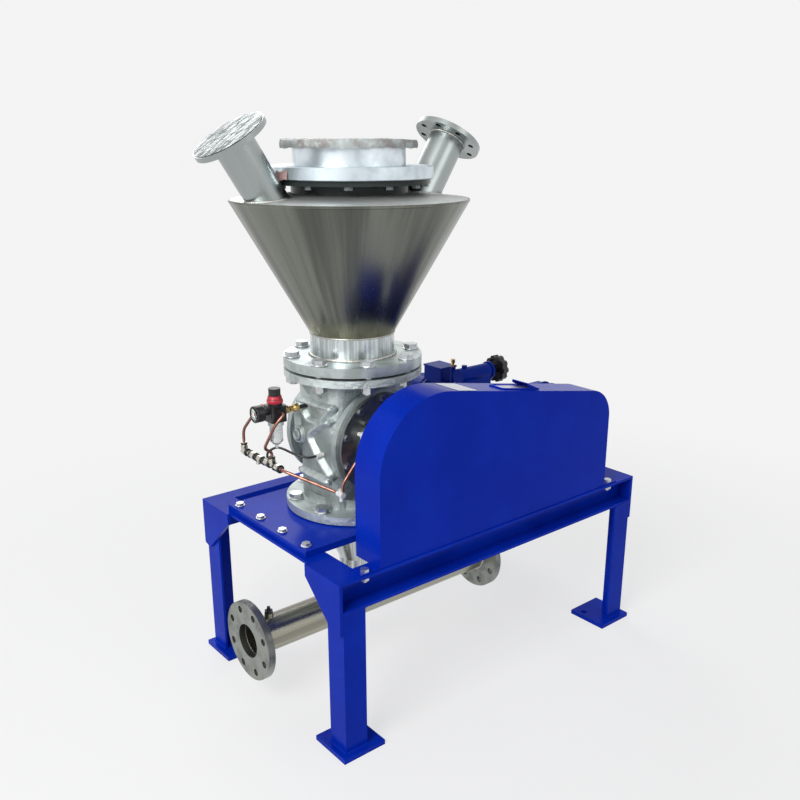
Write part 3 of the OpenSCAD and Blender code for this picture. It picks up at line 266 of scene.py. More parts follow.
# Fillet welds where each gusset meets its leg and beam, and where the legs stand on
# their foot plates: a rippled bead under the same paint.
beam_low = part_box("front_beam")[0]
gusset_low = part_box("corner_gussets")[0]
leg_low, leg_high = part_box("leg_front_left")
foot_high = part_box("foot_plates")[1]
WELD, WELD_SINK, WELD_START = 0.0028, 0.001, 0.055
beads = []
for sx in (-1, 1):
    for sy in (-1, 1):
        heel_x, heel_y = sx * abs(beam_low.x), sy * abs(beam_low.y)
        inner = sy * (abs(beam_low.y) - (leg_high.x - leg_low.x))
        toe_x = heel_x - sx * (leg_high.x - leg_low.x)
        sunk = heel_y - sy * WELD_SINK
        for start, end in (((heel_x, heel_y, foot_high.z), (toe_x, heel_y, foot_high.z)),
                           ((heel_x, heel_y, foot_high.z), (heel_x, inner, foot_high.z)),
                           ((toe_x, sunk, beam_low.z), (heel_x, sunk, beam_low.z)),
                           ((heel_x, inner, gusset_low.z + WELD_START),
                            (heel_x, inner, beam_low.z))):
            beads.append(tube(line(start, end), WELD, 8, 0.3))
piece("frame_welds", *joined(beads), frame_paint, "frame", "blue_paint")


# ---- Hexagon bolts
# Zinc plated steel; the bolts under the inlet ring get a darker copy, as painted shade.
# Turned washers lie under the heads of the flange bolts and of the front plate's bolts.

def plated(name, colour, warm, rough):
    """Zinc or nickel plating: small patches of a warmer grey and a fine dull grain."""
    made = Finish(name, Metallic=1.0, Specular_IOR_Level=0.5)
    patch = made.band(made.grain(170.0, 4.0), 0.4, 0.68)
    fine = made.grain(1400.0, 3.0)
    base = made.blend(patch, colour, warm)
    return made.paint(base, rough + patch * 0.14 + fine * 0.08, fine, 0.0001, 0.3)


zinc = plated("bolt_zinc", (0.60, 0.63, 0.66), (0.46, 0.46, 0.44), 0.26)
zinc.on("frame_bolts", "inlet_bolts", "outlet_bolts", "cover_bolts_set")
# Painted shade: a dark copy of the zinc for the bolts under the inlet ring.
plated("bolt_dull", (0.16, 0.18, 0.18), (0.10, 0.11, 0.11), 0.4).on("ring_bolts_set")


def turned_ring(centre, profile, axis, sides=48, flutes=0, depth=0.0):
    """Points and quads of a profile of (radius, along) pairs turned about an axis. With
    flutes, the radius is r (1 - depth |sin(flutes a / 2)|)."""
    profile = np.asarray(profile, float)
    turn = np.arange(sides) * 2 * pi / sides
    swell = 1 - depth * np.abs(np.sin(flutes * turn / 2))
    flat = np.stack([profile[:, None, 0] * swell * np.cos(turn),
                     profile[:, None, 0] * swell * np.sin(turn),
                     profile[:, None, 1] + 0 * turn], -1).reshape(-1, 3)
    spin = np.array(Vector((0, 0, 1)).rotation_difference(Vector(axis)).to_matrix())
    faces = grid_faces(len(profile), sides, True, True)
    return flat @ spin.T + np.asarray(centre, float), faces


def washer(centre, inner, outer, thick):
    """Points and quads of a flat ring with rounded edges, its axis upright."""
    edge = thick * 0.25
    profile = [(inner, 0), (outer - edge, 0), (outer, edge), (outer, thick - edge),
               (outer - edge, thick), (inner, thick)]
    return turned_ring(centre, profile, (0, 0, 1), 40)


valve_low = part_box("valve_housing")[0]
spigot_low, spigot_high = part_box("spigot_flange")
plate_low, plate_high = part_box("support_plate_front")
axis_x = (spigot_low.x + spigot_high.x) / 2
axis_y = (spigot_low.y + spigot_high.y) / 2
FLANGE_BOLTS = 8
INLET_CIRCLE = 0.149
OUTLET_CIRCLE = 0.153
LOW_FLANGE = 0.020
FLANGE_WASHER = (0.011, 0.0195, 0.003)
PLATE_WASHER = (0.0065, 0.0125, 0.0025)
turns = (np.arange(FLANGE_BOLTS) + 0.5) * 2 * pi / FLANGE_BOLTS
rings = [washer((axis_x + INLET_CIRCLE * cos(t), axis_y + INLET_CIRCLE * sin(t), spigot_high.z),
                *FLANGE_WASHER) for t in turns]
rings += [washer((axis_x + OUTLET_CIRCLE * cos(t), axis_y + OUTLET_CIRCLE * sin(t),
                  valve_low.z + LOW_FLANGE), *FLANGE_WASHER) for t in turns]
PLATE_EDGE = 0.019
PLATE_BOLTS = (-0.151, -0.050, 0.050, 0.151)
for x in (plate_low.x + PLATE_EDGE, plate_high.x - PLATE_EDGE):
    for y in PLATE_BOLTS:
        rings.append(washer((x, axis_y + y, plate_high.z), *PLATE_WASHER))
piece("bolt_washers", *joined(rings), zinc, "frame", "zinc_bolt")


# ---- Valve housing and end covers
# Sand cast, with a silver coat; painted shade darkens its recesses and lower housing. The
# end covers, the rotor and the bearings are turned.

casting = Finish("cast_silver", Metallic=0.75)
sand = casting.grain(520.0, 5.0, 0.7)
lumps = casting.grain(95.0, 4.0, 0.6)
stain = casting.band(casting.grain(22.0, 5.0, 0.65), 0.42, 0.72)
cast_colour = casting.blend(stain, (0.56, 0.62, 0.61), (0.32, 0.365, 0.35))
cast_colour = casting.blend(casting.band(sand, 0.52, 0.78) * 0.4, cast_colour, (0.72, 0.78, 0.77))
shaft_z = frame["joints"][0]["pos_m"][2]
# Painted shade in the recesses: near the shaft's hollow and inside the upper panel the coat is
# blended darker.
hollow = casting.about(0, (0, axis_y - 0.034, shaft_z - 0.008))[0]
panel = casting.about(0, (0, axis_y, shaft_z + 0.074))[0]
painted_recess_shade = casting.band(hollow, 0.060, 0.020).maths("MAXIMUM", casting.band(panel, 0.034, 0.014) * 0.7)
# Painted shade on the lower housing: darker from 0.50 m to 0.60 m up, fading out by 0.74 m.
height = Amount(casting, casting.node("SeparateXYZ", {}, {0: casting.point()}).outputs[2])
low = casting.band(height, 0.74, 0.60) * casting.band(height, 0.478, 0.50)
cast_colour = casting.blend(low * 0.5, cast_colour, (0.15, 0.175, 0.165))
cast_colour = casting.blend(painted_recess_shade * 0.45, cast_colour, (0.12, 0.14, 0.13))
casting.paint(cast_colour, 0.28 + stain * 0.10 + sand * 0.12, sand + lumps * 1.8, 0.0022, 0.8)
casting.on("valve_housing")
# The ribs carry a lighter copy of the cast coat: partly worn edges, partly a painted highlight.
worn_and_lit_rib_metal = Finish("cast_ribs", Metallic=0.8)
scale = worn_and_lit_rib_metal.grain(420.0, 4.0, 0.7)
blotch = worn_and_lit_rib_metal.band(worn_and_lit_rib_metal.grain(40.0, 4.0), 0.4, 0.7)
worn_and_lit_rib_metal.paint(worn_and_lit_rib_metal.blend(blotch, (0.60, 0.66, 0.65), (0.38, 0.43, 0.42)),
                0.42 + blotch * 0.1 + scale * 0.1, scale, 0.0012, 0.6)

# Rounded ribs and a ringed boss cast on each side face. Each line is the middle of a
# rib as Y, Z about the valve's axis, in millimetres.
SIDE_FACE = 0.116
RIB_ROOT = 0.014
RIB_LINES = ((((66, 92), (-74, 98), (-22, 48), (24, 50)), 9.5, 13, 6, True),
             (((76, 76), (72, 24), (70, 2)), 9.5, 13, 10, False),
             (((-68, 64), (-40, 56), (24, 10), (-20, -40), (-70, -76)), 12, 14, 22, False),
             (((-60, -92), (70, -92)), 12, 13, 5, False))


def bent(corners, bend, gap):
    """A path of straight runs joined by bends, with points at an even gap: each corner c
    turns into the curve (1-t)^2 a + 2t(1-t) c + t^2 b, where a and b lie a bend's length
    before and after it."""
    corners = [np.asarray(c, float) for c in corners]
    path = [corners[0]]
    for before, corner, after in zip(corners, corners[1:], corners[2:]):
        reach = min(bend, np.linalg.norm(corner - before) / 2, np.linalg.norm(after - corner) / 2)
        start = corner + reach * (before - corner) / np.linalg.norm(before - corner)
        end = corner + reach * (after - corner) / np.linalg.norm(after - corner)
        t = np.linspace(0, 1, 9)[:, None]
        path.extend((1 - t) ** 2 * start + 2 * t * (1 - t) * corner + t ** 2 * end)
    points = np.array(path + [corners[-1]])
    run = np.concatenate([[0], np.cumsum(np.linalg.norm(np.diff(points, axis=0), axis=1))])
    at = np.linspace(0, run[-1], max(int(run[-1] / gap), 4))
    return np.stack([np.interp(at, run, points[:, k]) for k in range(points.shape[1])], 1)


def looped(corners, bend, gap):
    """The same kind of path through all the corners and back to its start."""
    corners = np.asarray(corners, float)
    middle = (corners[0] + corners[-1]) / 2
    return bent([middle, *corners, middle], bend, gap)[:-1]


def cast_rib(line, half, rise, bend, closed, side):
    """A rib along a line on a side face: at offset t across it, from -1 to 1, it stands
    rise * cos(pi t / 2) ** 1.1 over the face, and its ends round off as a circle does.
    Its root goes into the casting."""
    line = (looped if closed else bent)(line, bend, 2.0) / 1000
    step = np.roll(line, -1, 0) - np.roll(line, 1, 0) if closed else np.gradient(line, axis=0)
    step /= np.linalg.norm(step, axis=1)[:, None]
    over = np.stack([-step[:, 1], step[:, 0]], 1)
    t = np.linspace(-1, 1, 15)
    dome = np.concatenate([[-RIB_ROOT], np.cos(pi * t / 2).clip(0) ** 1.1 * rise, [-RIB_ROOT]])
    t = np.concatenate([[-1], t, [1]])
    ends = np.ones(len(line))
    if not closed:
        run = np.arange(len(line)) * 0.002
        near = np.minimum(run, run[::-1]) / half
        ends = np.sqrt(1 - (1 - near.clip(0, 1)) ** 2).clip(0.03)
    across = line[:, None, :] + (half * ends)[:, None, None] * t[None, :, None] * over[:, None, :]
    stand = np.where(dome > 0, dome[None, :] * ends[:, None], dome[None, :])
    points = np.stack([axis_x + side * (SIDE_FACE + stand), axis_y + across[..., 0],
                       shaft_z + across[..., 1]], -1)
    return points.reshape(-1, 3), grid_faces(*points.shape[:2], True, closed)


ribs = []
for side in (-1, 1):
    for middle_line, half, rise, bend, closed in RIB_LINES:
        ribs.append(cast_rib(middle_line, half / 1000, rise / 1000, bend, closed, side))
    turn = np.arange(16) * 2 * pi / 16
    for boss_r, half, rise in ((11, 6, 14), (20, 5.5, 11)):
        ring = np.stack([68 + boss_r * np.cos(turn), 2 + boss_r * np.sin(turn)], 1)
        ribs.append(cast_rib(ring, half / 1000, rise / 1000, 4, True, side))
piece("casting_ribs", *joined(ribs), worn_and_lit_rib_metal, "frame", "casting", shell=True)


def turned(name, axis, centre, colour, dark, rough, pitch=0.0009, depth=0.00005):
    """Turned metal: rings of tool marks about an axis, with faint stains."""
    made = Finish(name, Metallic=1.0)
    far = made.about(axis, centre)[0]
    rings_seen = (far * (2 * pi / pitch)).maths("SINE")
    marks = made.grain(260.0, 3.0, at=made.node("CombineXYZ", {}, {0: far * 6.0}).outputs[0])
    cloud = made.band(made.grain(30.0, 4.0), 0.4, 0.7)
    base = made.blend(cloud, colour, dark)
    made.paint(base, rough + marks * 0.16 + cloud * 0.06, rings_seen * 0.4 + marks, depth, 0.4)
    return made


turned("cover_turned", 1, (axis_x, 0, shaft_z), (0.30, 0.32, 0.31), (0.17, 0.18, 0.17),
       0.34).on("end_cover_front", "end_cover_rear")
turned("bearing_ground", 1, (axis_x, 0, shaft_z), (0.6, 0.61, 0.62), (0.5, 0.5, 0.5),
       0.2).on("shaft_bearings")
turned("rotor_ground", 1, (axis_x, 0, shaft_z), (0.48, 0.49, 0.5), (0.36, 0.37, 0.37),
       0.3).on("rotor")


# ---- Gaskets
# Flat rings cut from black rubber sheet. The bolts clamp them between the flanges, and
# their chalky edges show as a thin dark line.

rubber = Finish("black_rubber", Specular_IOR_Level=0.35)
chalk = rubber.band(rubber.grain(240.0, 4.0), 0.5, 0.8)
rubber.paint(rubber.blend(chalk, (0.012, 0.012, 0.012), (0.03, 0.03, 0.03)),
             0.6 + chalk * 0.2, chalk, 0.0002, 0.5)
rubber.on("flange_gaskets")


# ---- Hopper, nozzles, drop-out and conveying pipe
# Rolled stainless sheet and tube, polished after welding. The polish leaves faint
# marks along the cone, and the heat of the welds leaves straw coloured bands.

def polished(name, axis, centre, colour, dark, rough, marks_round):
    """Polished sheet: fine marks, broad light and dark bands along or round an axis as painted
    reflections, and slow dents.
    """
    made = Finish(name, Metallic=1.0)
    _, u, v, height = made.about(axis, centre)
    if marks_round:
        where = made.node("CombineXYZ", {}, {0: height * 60.0, 1: u * 0.6, 2: v * 0.6})
        reflection_bars = made.node("CombineXYZ", {}, {0: height * 0.4, 1: u * 2.2, 2: v * 2.2})
    else:
        where = made.node("CombineXYZ", {}, {0: u * 9.0, 1: v * 9.0, 2: height * 0.5})
        reflection_bars = made.node("CombineXYZ", {}, {0: u * 2.4, 1: v * 2.4, 2: height * 0.7})
    marks = made.grain(9.0, 6.0, 0.7, where.outputs[0])
    # Painted reflections: broad light and dark bands blended into the colour.
    bands = made.band(made.grain(1.6, 3.0, 0.6, reflection_bars.outputs[0]), 0.36, 0.66)
    spots = made.band(made.grain(130.0, 5.0, 0.7), 0.58, 0.75)
    base = made.blend(bands * 0.65 + marks * 0.35, colour, dark)
    base = made.blend(spots * 0.12, base, (0.24, 0.22, 0.18))
    dents = made.grain(9.0, 1.0)
    made.paint(base, rough + marks * 0.10 + bands * 0.06 + spots * 0.08,
               marks * 0.04 + dents, 0.006, 0.10)
    return made


flange_low, flange_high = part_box("pipe_flanges")
pipe_z = (flange_low.z + flange_high.z) / 2
cone_metal = polished("cone_polished", 2, (axis_x, axis_y, 0), (0.215, 0.225, 0.195),
                      (0.085, 0.09, 0.078), 0.20, False)
cone_metal.on("hopper_shell", "drop_out")
pipe_metal = polished("pipe_polished", 0, (0, axis_y, pipe_z), (0.46, 0.45, 0.37),
                      (0.24, 0.23, 0.185), 0.22, True)
pipe_metal.on("conveying_pipe")
nozzle_metal = polished("nozzle_polished", 2, (axis_x, axis_y, 0), (0.40, 0.435, 0.43),
                        (0.22, 0.25, 0.24), 0.24, False)
nozzle_metal.on("nozzle_left", "nozzle_right")
cover_metal = polished("cover_polished", 2, (axis_x, axis_y, 0), (0.66, 0.68, 0.67),
                       (0.50, 0.52, 0.51), 0.42, True)
cover_metal.on("hopper_cover")
turned("spigot_turned", 2, (axis_x, axis_y, 0), (0.50, 0.55, 0.55), (0.34, 0.38, 0.37),
       0.30).on("spigot_flange")
turned("pipe_flange_turned", 0, (0, axis_y, pipe_z), (0.30, 0.32, 0.29), (0.18, 0.19, 0.17),
       0.28).on("pipe_flanges")

weld_metal = Finish("weld_bead", Metallic=1.0)
straw = weld_metal.band(weld_metal.grain(90.0, 4.0), 0.42, 0.7)
weld_metal.paint(weld_metal.blend(straw, (0.52, 0.53, 0.51), (0.38, 0.35, 0.29)),
                 0.3 + straw * 0.18, weld_metal.grain(900.0, 2.0), 0.0002, 0.4)


def circle(centre, radius, axis=(0, 0, 1), count=420):
    """Points round a circle that faces an axis."""
    turn = np.arange(count) * 2 * pi / count
    flat = np.stack([radius * np.cos(turn), radius * np.sin(turn), 0 * turn], 1)
    spin = np.array(Vector((0, 0, 1)).rotation_difference(Vector(axis)).to_matrix())
    return flat @ spin.T + np.asarray(centre, float)


shell_low, shell_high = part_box("hopper_shell")
SPIGOT = 0.102
CONE_FOOT = shell_low.z + 0.053
FLANGE_BEAD, FOOT_BEAD, PIPE_BEAD = 0.0032, 0.0016, 0.0028
PIPE_R, PIPE_FLANGE = 0.0458, 0.018
_, u, v, height = cone_metal.about(2, (axis_x, axis_y, 0))
streak = cone_metal.node("CombineXYZ", {}, {0: u * 7.0, 1: v * 7.0, 2: height * 3.0}).outputs[0]
bright = cone_metal.blend(cone_metal.band(cone_metal.grain(2.4, 3.0, 0.6, streak), 0.38, 0.62),
                          (0.66, 0.71, 0.72), (0.40, 0.43, 0.43))
cone_colour = cone_metal.shader.inputs["Base Color"].links[0].from_socket
heat = cone_metal.band(height, CONE_FOOT + 0.055, CONE_FOOT + 0.010)
cone_colour = cone_metal.blend(heat * 0.55, cone_colour, (0.40, 0.36, 0.25))
spigot_share = cone_metal.band(height, CONE_FOOT + 0.001, CONE_FOOT - 0.001)
cone_metal.paint(cone_metal.blend(spigot_share, cone_colour, bright))
beads = [tube(circle((axis_x, axis_y, shell_low.z + 0.002), SPIGOT + 0.002), FLANGE_BEAD, 8, 0.25,
              closed=True),
         tube(circle((axis_x, axis_y, CONE_FOOT), SPIGOT + 0.0003), FOOT_BEAD, 8, 0.3,
              closed=True)]
for x, way in ((flange_low.x + PIPE_FLANGE, 1), (flange_high.x - PIPE_FLANGE, -1)):
    beads.append(tube(circle((x + way * 0.001, axis_y, pipe_z), PIPE_R, (1, 0, 0)), PIPE_BEAD, 8,
                      0.3, closed=True))
piece("sheet_welds", *joined(beads), weld_metal, "frame", "stainless")

# The nozzle tubes meet the shallow cover in a long oval bead, and carry their flanges
# on a second, round one.
TILT = radians(33)
NOZZLE_AT, NOZZLE_R, NOZZLE_LEN, NOZZLE_FLANGE = 0.216, 0.04445, 0.168, 0.012
SHEET_T = 0.0025
rim_z = shell_high.z - SHEET_T
RIM_IN, NECK_IN, RISE = 0.2738, 0.1361, 0.013
NOZZLE_BEAD, SEAT_BEAD = 0.0026, 0.0024
beads = []
for side in (-1, 1):
    out = np.array([side * sin(TILT), 0, cos(TILT)])
    across = np.array([side * cos(TILT), 0, -sin(TILT)])
    turn = np.arange(360) * 2 * pi / 360
    foot = np.array([axis_x + side * NOZZLE_AT, axis_y, rim_z])
    wall = foot + (NOZZLE_R * np.cos(turn))[:, None] * across \
        + (NOZZLE_R * np.sin(turn))[:, None] * np.array([0, 1, 0])
    along = np.zeros(360)
    for _ in range(6):
        spot = wall + along[:, None] * out
        far = np.hypot(spot[:, 0] - axis_x, spot[:, 1] - axis_y)
        top = rim_z + SHEET_T + RISE * np.clip((RIM_IN - far) / (RIM_IN - NECK_IN), 0, 1)
        along += (top - spot[:, 2]) / cos(TILT)
    beads.append(tube(wall + along[:, None] * out, NOZZLE_BEAD, 8, 0.3, closed=True))
    beads.append(tube(circle(foot + (NOZZLE_LEN - NOZZLE_FLANGE) * out, NOZZLE_R + 0.0008,
                             tuple(out)), SEAT_BEAD, 8, 0.3, closed=True))
piece("nozzle_welds", *joined(beads), weld_metal, "frame", "stainless")

# Thin plastic film is stretched over the open flanges for transport, and creases.
# It stands a little off the flange, and swells a little more in the middle.
FILM_R, FILM_STAND, FILM_LIFT, FILM_CREASE = 0.0815, 0.0010, 0.0006, 0.0030
film_plastic = Finish("transit_film", Specular_IOR_Level=0.4, Metallic=0.6)
axes = film_plastic.node("SeparateXYZ", {}, {0: film_plastic.point()}).outputs
long_way = film_plastic.node("CombineXYZ", {}, {
    0: Amount(film_plastic, axes[0]) * 14.0, 1: Amount(film_plastic, axes[1]) * 90.0,
    2: Amount(film_plastic, axes[2]) * 14.0}).outputs[0]
# Light and dark streaks along the film: partly its cloudiness, partly painted highlight streaks.
cloud_and_highlight_streaks = film_plastic.band(film_plastic.grain(1.6, 5.0, 0.7, long_way), 0.40, 0.62)
film_plastic.paint(film_plastic.blend(cloud_and_highlight_streaks, (0.27, 0.30, 0.30), (0.09, 0.105, 0.105)),
                   0.34 + cloud_and_highlight_streaks * 0.25, film_plastic.grain(60.0, 4.0, 0.6), 0.004, 0.4)


def creased(x, y, seed):
    """Creases of a stretched film, from 0 to 1: the mean of (1 - |sin(d . p + phase)|) ** 3
    over seven directions d."""
    draw = np.random.default_rng(seed)
    height = 0 * x
    for _ in range(7):
        turn, pitch, phase = draw.uniform(0, pi), draw.uniform(45, 130), draw.uniform(0, pi)
        wave = np.sin(pitch * (x * np.cos(turn) + y * np.sin(turn)) + phase)
        height += (1 - np.abs(wave)) ** 3 / 7
    return height


def film(name, centre, out, across, seed):
    """A round film over a flange: at radius r its height is FILM_LIFT (1 - (r/R)^8) plus
    the creases times FILM_CREASE (1 - (r/R)^6), so that they fade at the edge."""
    third = np.cross(out, across)
    turn = np.arange(240) * 2 * pi / 240
    r = np.linspace(0, 1, 60) ** 0.8
    x = FILM_R * r[:, None] * np.cos(turn)
    y = FILM_R * r[:, None] * np.sin(turn)
    folds = creased(x, y, seed)
    high = (FILM_LIFT * (1 - r[:, None] ** 8)
            + FILM_CREASE * (folds - folds.min()) * (1 - r[:, None] ** 6))
    points = centre + x[..., None] * across + y[..., None] * third + high[..., None] * out
    surface(name, points[::-1], film_plastic, "frame", "stainless", around=True)


for side, name in ((-1, "film_left"), (1, "film_right")):
    out = np.array([side * sin(TILT), 0, cos(TILT)])
    across = np.array([cos(TILT), 0, -side * sin(TILT)])
    foot = np.array([axis_x + side * NOZZLE_AT, axis_y, rim_z])
    film(name, foot + (NOZZLE_LEN + FILM_STAND) * out, out, across, 11 + side)


# ---- Inlet neck, ring and collar
# The neck welded to the hopper's cover is coloured near black. The heavy ring and the collar
# on it are turned, zinc plated and bolted down.

neck_paint = sprayed("neck_dark", (0.018, 0.024, 0.024), (0.036, 0.044, 0.042), 0.0006, 0.12)
neck_paint.on("inlet_neck")
turned("ring_zinc", 2, (axis_x, axis_y, 0), (0.68, 0.76, 0.80), (0.54, 0.61, 0.66), 0.26,
       0.0012).on("inlet_ring")
turned("collar_zinc", 2, (axis_x, axis_y, 0), (0.76, 0.83, 0.87), (0.60, 0.66, 0.71), 0.22,
       0.0012).on("inlet_collar")


# A crumpled protective cover lies on the open inlet flange, and a blank tag hangs from
# the ring.
collar_low, collar_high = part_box("inlet_collar")
cover_skin = Finish("transit_cover", Specular_IOR_Level=0.35)
worn = cover_skin.band(cover_skin.grain(24.0, 5.0, 0.7), 0.40, 0.62)
smear = cover_skin.band(cover_skin.grain(90.0, 4.0, 0.7), 0.5, 0.7)
cover_colour = cover_skin.blend(worn, (0.42, 0.46, 0.45), (0.27, 0.25, 0.24))
cover_skin.paint(cover_skin.blend(smear * 0.5, cover_colour, (0.66, 0.70, 0.68)),
                 0.45 + worn * 0.2, cover_skin.grain(70.0, 5.0, 0.7), 0.004, 0.6)
INLET_T, COVER_RISE, COVER_FILL = 0.008, 0.009, 0.995
flange_r = (collar_high.x - collar_low.x) / 2
turn = np.arange(300) * 2 * pi / 300
r = np.linspace(0, 1, 50) ** 0.7
x = flange_r * COVER_FILL * r[:, None] * np.cos(turn)
y = flange_r * COVER_FILL * r[:, None] * np.sin(turn)
sag = 0.0013 * np.sin(3 * turn + 1) + 0.0006 * np.sin(8 * turn)
high = COVER_RISE + sag * r[:, None] ** 2 + 0.005 * creased(x, y, 5) * (1 - r[:, None] ** 10)
down = np.linspace(0.06, 1, 10)[:, None]
ring = flange_r * (COVER_FILL + 0.016 * np.sin(pi * down * 0.9)
                   + 0.004 * np.sin(31 * turn + 3 * np.sin(2 * turn)) * down)
foot_z = -(INLET_T + 0.001) * (1 + 0.08 * np.sin(5 * turn) + 0.10 * np.sin(17 * turn + 2))
x = np.concatenate([x, ring * np.cos(turn)])
y = np.concatenate([y, ring * np.sin(turn)])
high = np.concatenate([high, (1 - down) * (COVER_RISE + sag) + down * foot_z])
points = np.stack([axis_x + x, axis_y + y, collar_high.z + high], -1)
surface("inlet_cover", points[::-1], cover_skin, "frame", "zinc_ring", around=True)

ring_low, ring_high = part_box("inlet_ring")
tag_card = Finish("tag_card", Specular_IOR_Level=0.3)
fleck = tag_card.grain(420.0, 4.0)
tag_card.paint(tag_card.blend(fleck, (0.52, 0.33, 0.31), (0.62, 0.42, 0.40)),
               0.55 + fleck * 0.2, fleck, 0.0001, 0.2)
ring_r = (ring_high.x - ring_low.x) / 2
turn, drop = np.meshgrid(np.radians(np.linspace(179, 191, 14)), np.linspace(0, 1, 12),
                         indexing="ij")
curl = 0.0008 + 0.0030 * drop ** 2 + 0.0006 * np.sin(9 * drop + 20 * turn)
points = np.stack([axis_x + (ring_r + curl) * np.cos(turn), axis_y + (ring_r + curl) * np.sin(turn),
                   ring_high.z - 0.009 - 0.019 * drop - 0.002 * np.sin(30 * turn)], -1)
surface("ring_tag", points[::-1], tag_card, "frame", "zinc_ring")


# ---- Chain guard
# Folded and welded sheet, painted the frame's blue but smoother. A blank label is
# stuck on its sloping top.

guard_paint = sprayed("guard_blue", (0.0010, 0.018, 0.34), (0.0014, 0.024, 0.40), 0.0006, 0.045)
guard_paint.on("guard_cover", "guard_back", "guard_bracket")

drive_axis = frame["joints"][1]["pos_m"]
BIG, SMALL = 0.17365, 0.08385
span = drive_axis[0] - axis_x
lean = np.arcsin((BIG - SMALL) / span)


def on_guard(x, y, lift):
    """Points on the guard's sloping top at x and y, raised by lift at right angles to it:
    z falls by tan(lean) for each unit of x from where the top leaves the round end."""
    start_x = axis_x + BIG * np.sin(lean)
    start_z = shaft_z + BIG * np.cos(lean)
    z = start_z - (x - start_x) * np.tan(lean)
    return np.stack([x + lift * np.sin(lean), y + 0 * x, z + lift * np.cos(lean)], -1)


paper = Finish("blank_label", Specular_IOR_Level=0.4)
fibre = paper.grain(700.0, 4.0)
paper.paint(paper.blend(fibre, (0.70, 0.73, 0.80), (0.82, 0.84, 0.88)), 0.4 + fibre * 0.2,
            fibre, 0.0001, 0.2)
LABEL_X, LABEL_Y, LABEL_LIFT = (-0.165, -0.104), (-0.302, -0.222), 0.0004
x, y = np.meshgrid(np.linspace(*LABEL_X, 9), np.linspace(*LABEL_Y, 9), indexing="ij")
surface("guard_label", on_guard(x, y, LABEL_LIFT)[:, ::-1], paper, "frame", "blue_paint")

# Oil hatch in the sloping top: a light inner plate in a raised rim, a painted reflection on
# the guard, and a hinged flap with folded sides that stands a little open.
HATCH_X0, HATCH_X1, HATCH_Y0, HATCH_Y1 = -0.010, 0.112, -0.290, -0.243
RIM_R, RIM_LIFT, PLATE_LIFT = 0.0026, 0.001, 0.0005
SHEET = 0.0016
FLAP_X0, FLAP_LIFT, FLAP_SIDE = 0.070, 0.013, 0.006
# Painted reflection: the plate's light grey stands for bright light mirrored in the paint.
reflection_plate = plated("bare_sheet", (0.64, 0.62, 0.70), (0.50, 0.50, 0.62), 0.34)
x, y = np.meshgrid(np.linspace(HATCH_X0, HATCH_X1, 30), np.linspace(HATCH_Y0, HATCH_Y1, 15),
                   indexing="ij")
dish = 0.0008 * np.sin(pi * (x - HATCH_X0) / (HATCH_X1 - HATCH_X0))
surface("hatch_plate", on_guard(x, y, PLATE_LIFT + dish), reflection_plate, "frame", "blue_paint")
loop = looped([(HATCH_X0, HATCH_Y0), (HATCH_X1, HATCH_Y0), (HATCH_X1, HATCH_Y1),
               (HATCH_X0, HATCH_Y1)], 0.008, 0.003)
piece("hatch_rim", *tube(on_guard(loop[:, 0], loop[:, 1], RIM_LIFT), RIM_R, 10, closed=True,
                         seed=(0.17, 0, 0.98)), guard_paint, "frame", "blue_paint", shell=True)
u, t = np.meshgrid(np.linspace(0, 1, 24), np.linspace(-1, 1, 33), indexing="ij")
edge = np.clip((np.abs(t) - 0.86) / 0.14, 0, 1)
half_y = (HATCH_Y1 - HATCH_Y0) / 2 + 0.002
y = (HATCH_Y0 + HATCH_Y1) / 2 + half_y * np.sign(t) * np.minimum(np.abs(t) / 0.86, 1)
x = FLAP_X0 + u * (HATCH_X1 + 0.004 - FLAP_X0)
rise = 0.003 + FLAP_LIFT * (1 - u) ** 1.1
top_skin = on_guard(x, y, rise - edge * np.minimum(FLAP_SIDE, rise - 0.002))
under = on_guard(x, y - np.sign(t) * SHEET * edge,
                 rise - SHEET - edge * np.minimum(FLAP_SIDE, rise - 0.002) * 0.98)
surface("hatch_flap", np.concatenate([top_skin, under[::-1]]), guard_paint, "frame",
        "blue_paint", along=True, shell=True)


# ---- Chain and sprockets
# A roller chain of stamped link plates runs on two cut sprockets, closed in by the
# guard. All of it is dark steel under a film of oil.

def oiled(name, colour, dark):
    """Dark oiled steel with a wet film in patches."""
    made = Finish(name, Metallic=1.0)
    film = made.band(made.grain(150.0, 4.0), 0.4, 0.7)
    return made.paint(made.blend(film, colour, dark), 0.42 - film * 0.18,
                      made.grain(900.0, 2.0), 0.00015, 0.4)


oiled("chain_oiled", (0.34, 0.33, 0.31), (0.16, 0.14, 0.11)).on("roller_chain")
oiled("sprocket_oiled", (0.27, 0.27, 0.26), (0.12, 0.11, 0.10)).on("rotor_sprocket",
                                                                    "drive_sprocket")
turned("shaft_ground", 1, drive_axis, (0.62, 0.63, 0.64), (0.5, 0.5, 0.5), 0.18) \
    .on("output_shaft")


# ---- Gear unit, variator and motor
# Cast iron and aluminium housings under a darker coat of the blue, with the casting's
# grain. The breather is brass; the handwheel and the small caps are moulded.

drive_paint = sprayed("drive_blue", (0.0012, 0.020, 0.26), (0.0026, 0.034, 0.38), 0.0012, 0.06)
drive_paint.on("gear_unit", "variator", "motor", "fan_cowl", "terminal_box")

brass = plated("brass_polished", (0.72, 0.50, 0.20), (0.5, 0.33, 0.12), 0.2)
brass.on("breather")


def moulded(name, colour, light, rough):
    """Moulded plastic: a fine spark-eroded grain and a slow change of shade."""
    made = Finish(name, Specular_IOR_Level=0.5)
    shade = made.band(made.grain(60.0, 3.0), 0.35, 0.7)
    fine = made.grain(1500.0, 2.0)
    return made.paint(made.blend(shade, colour, light), rough + fine * 0.12, fine, 0.0001, 0.4)


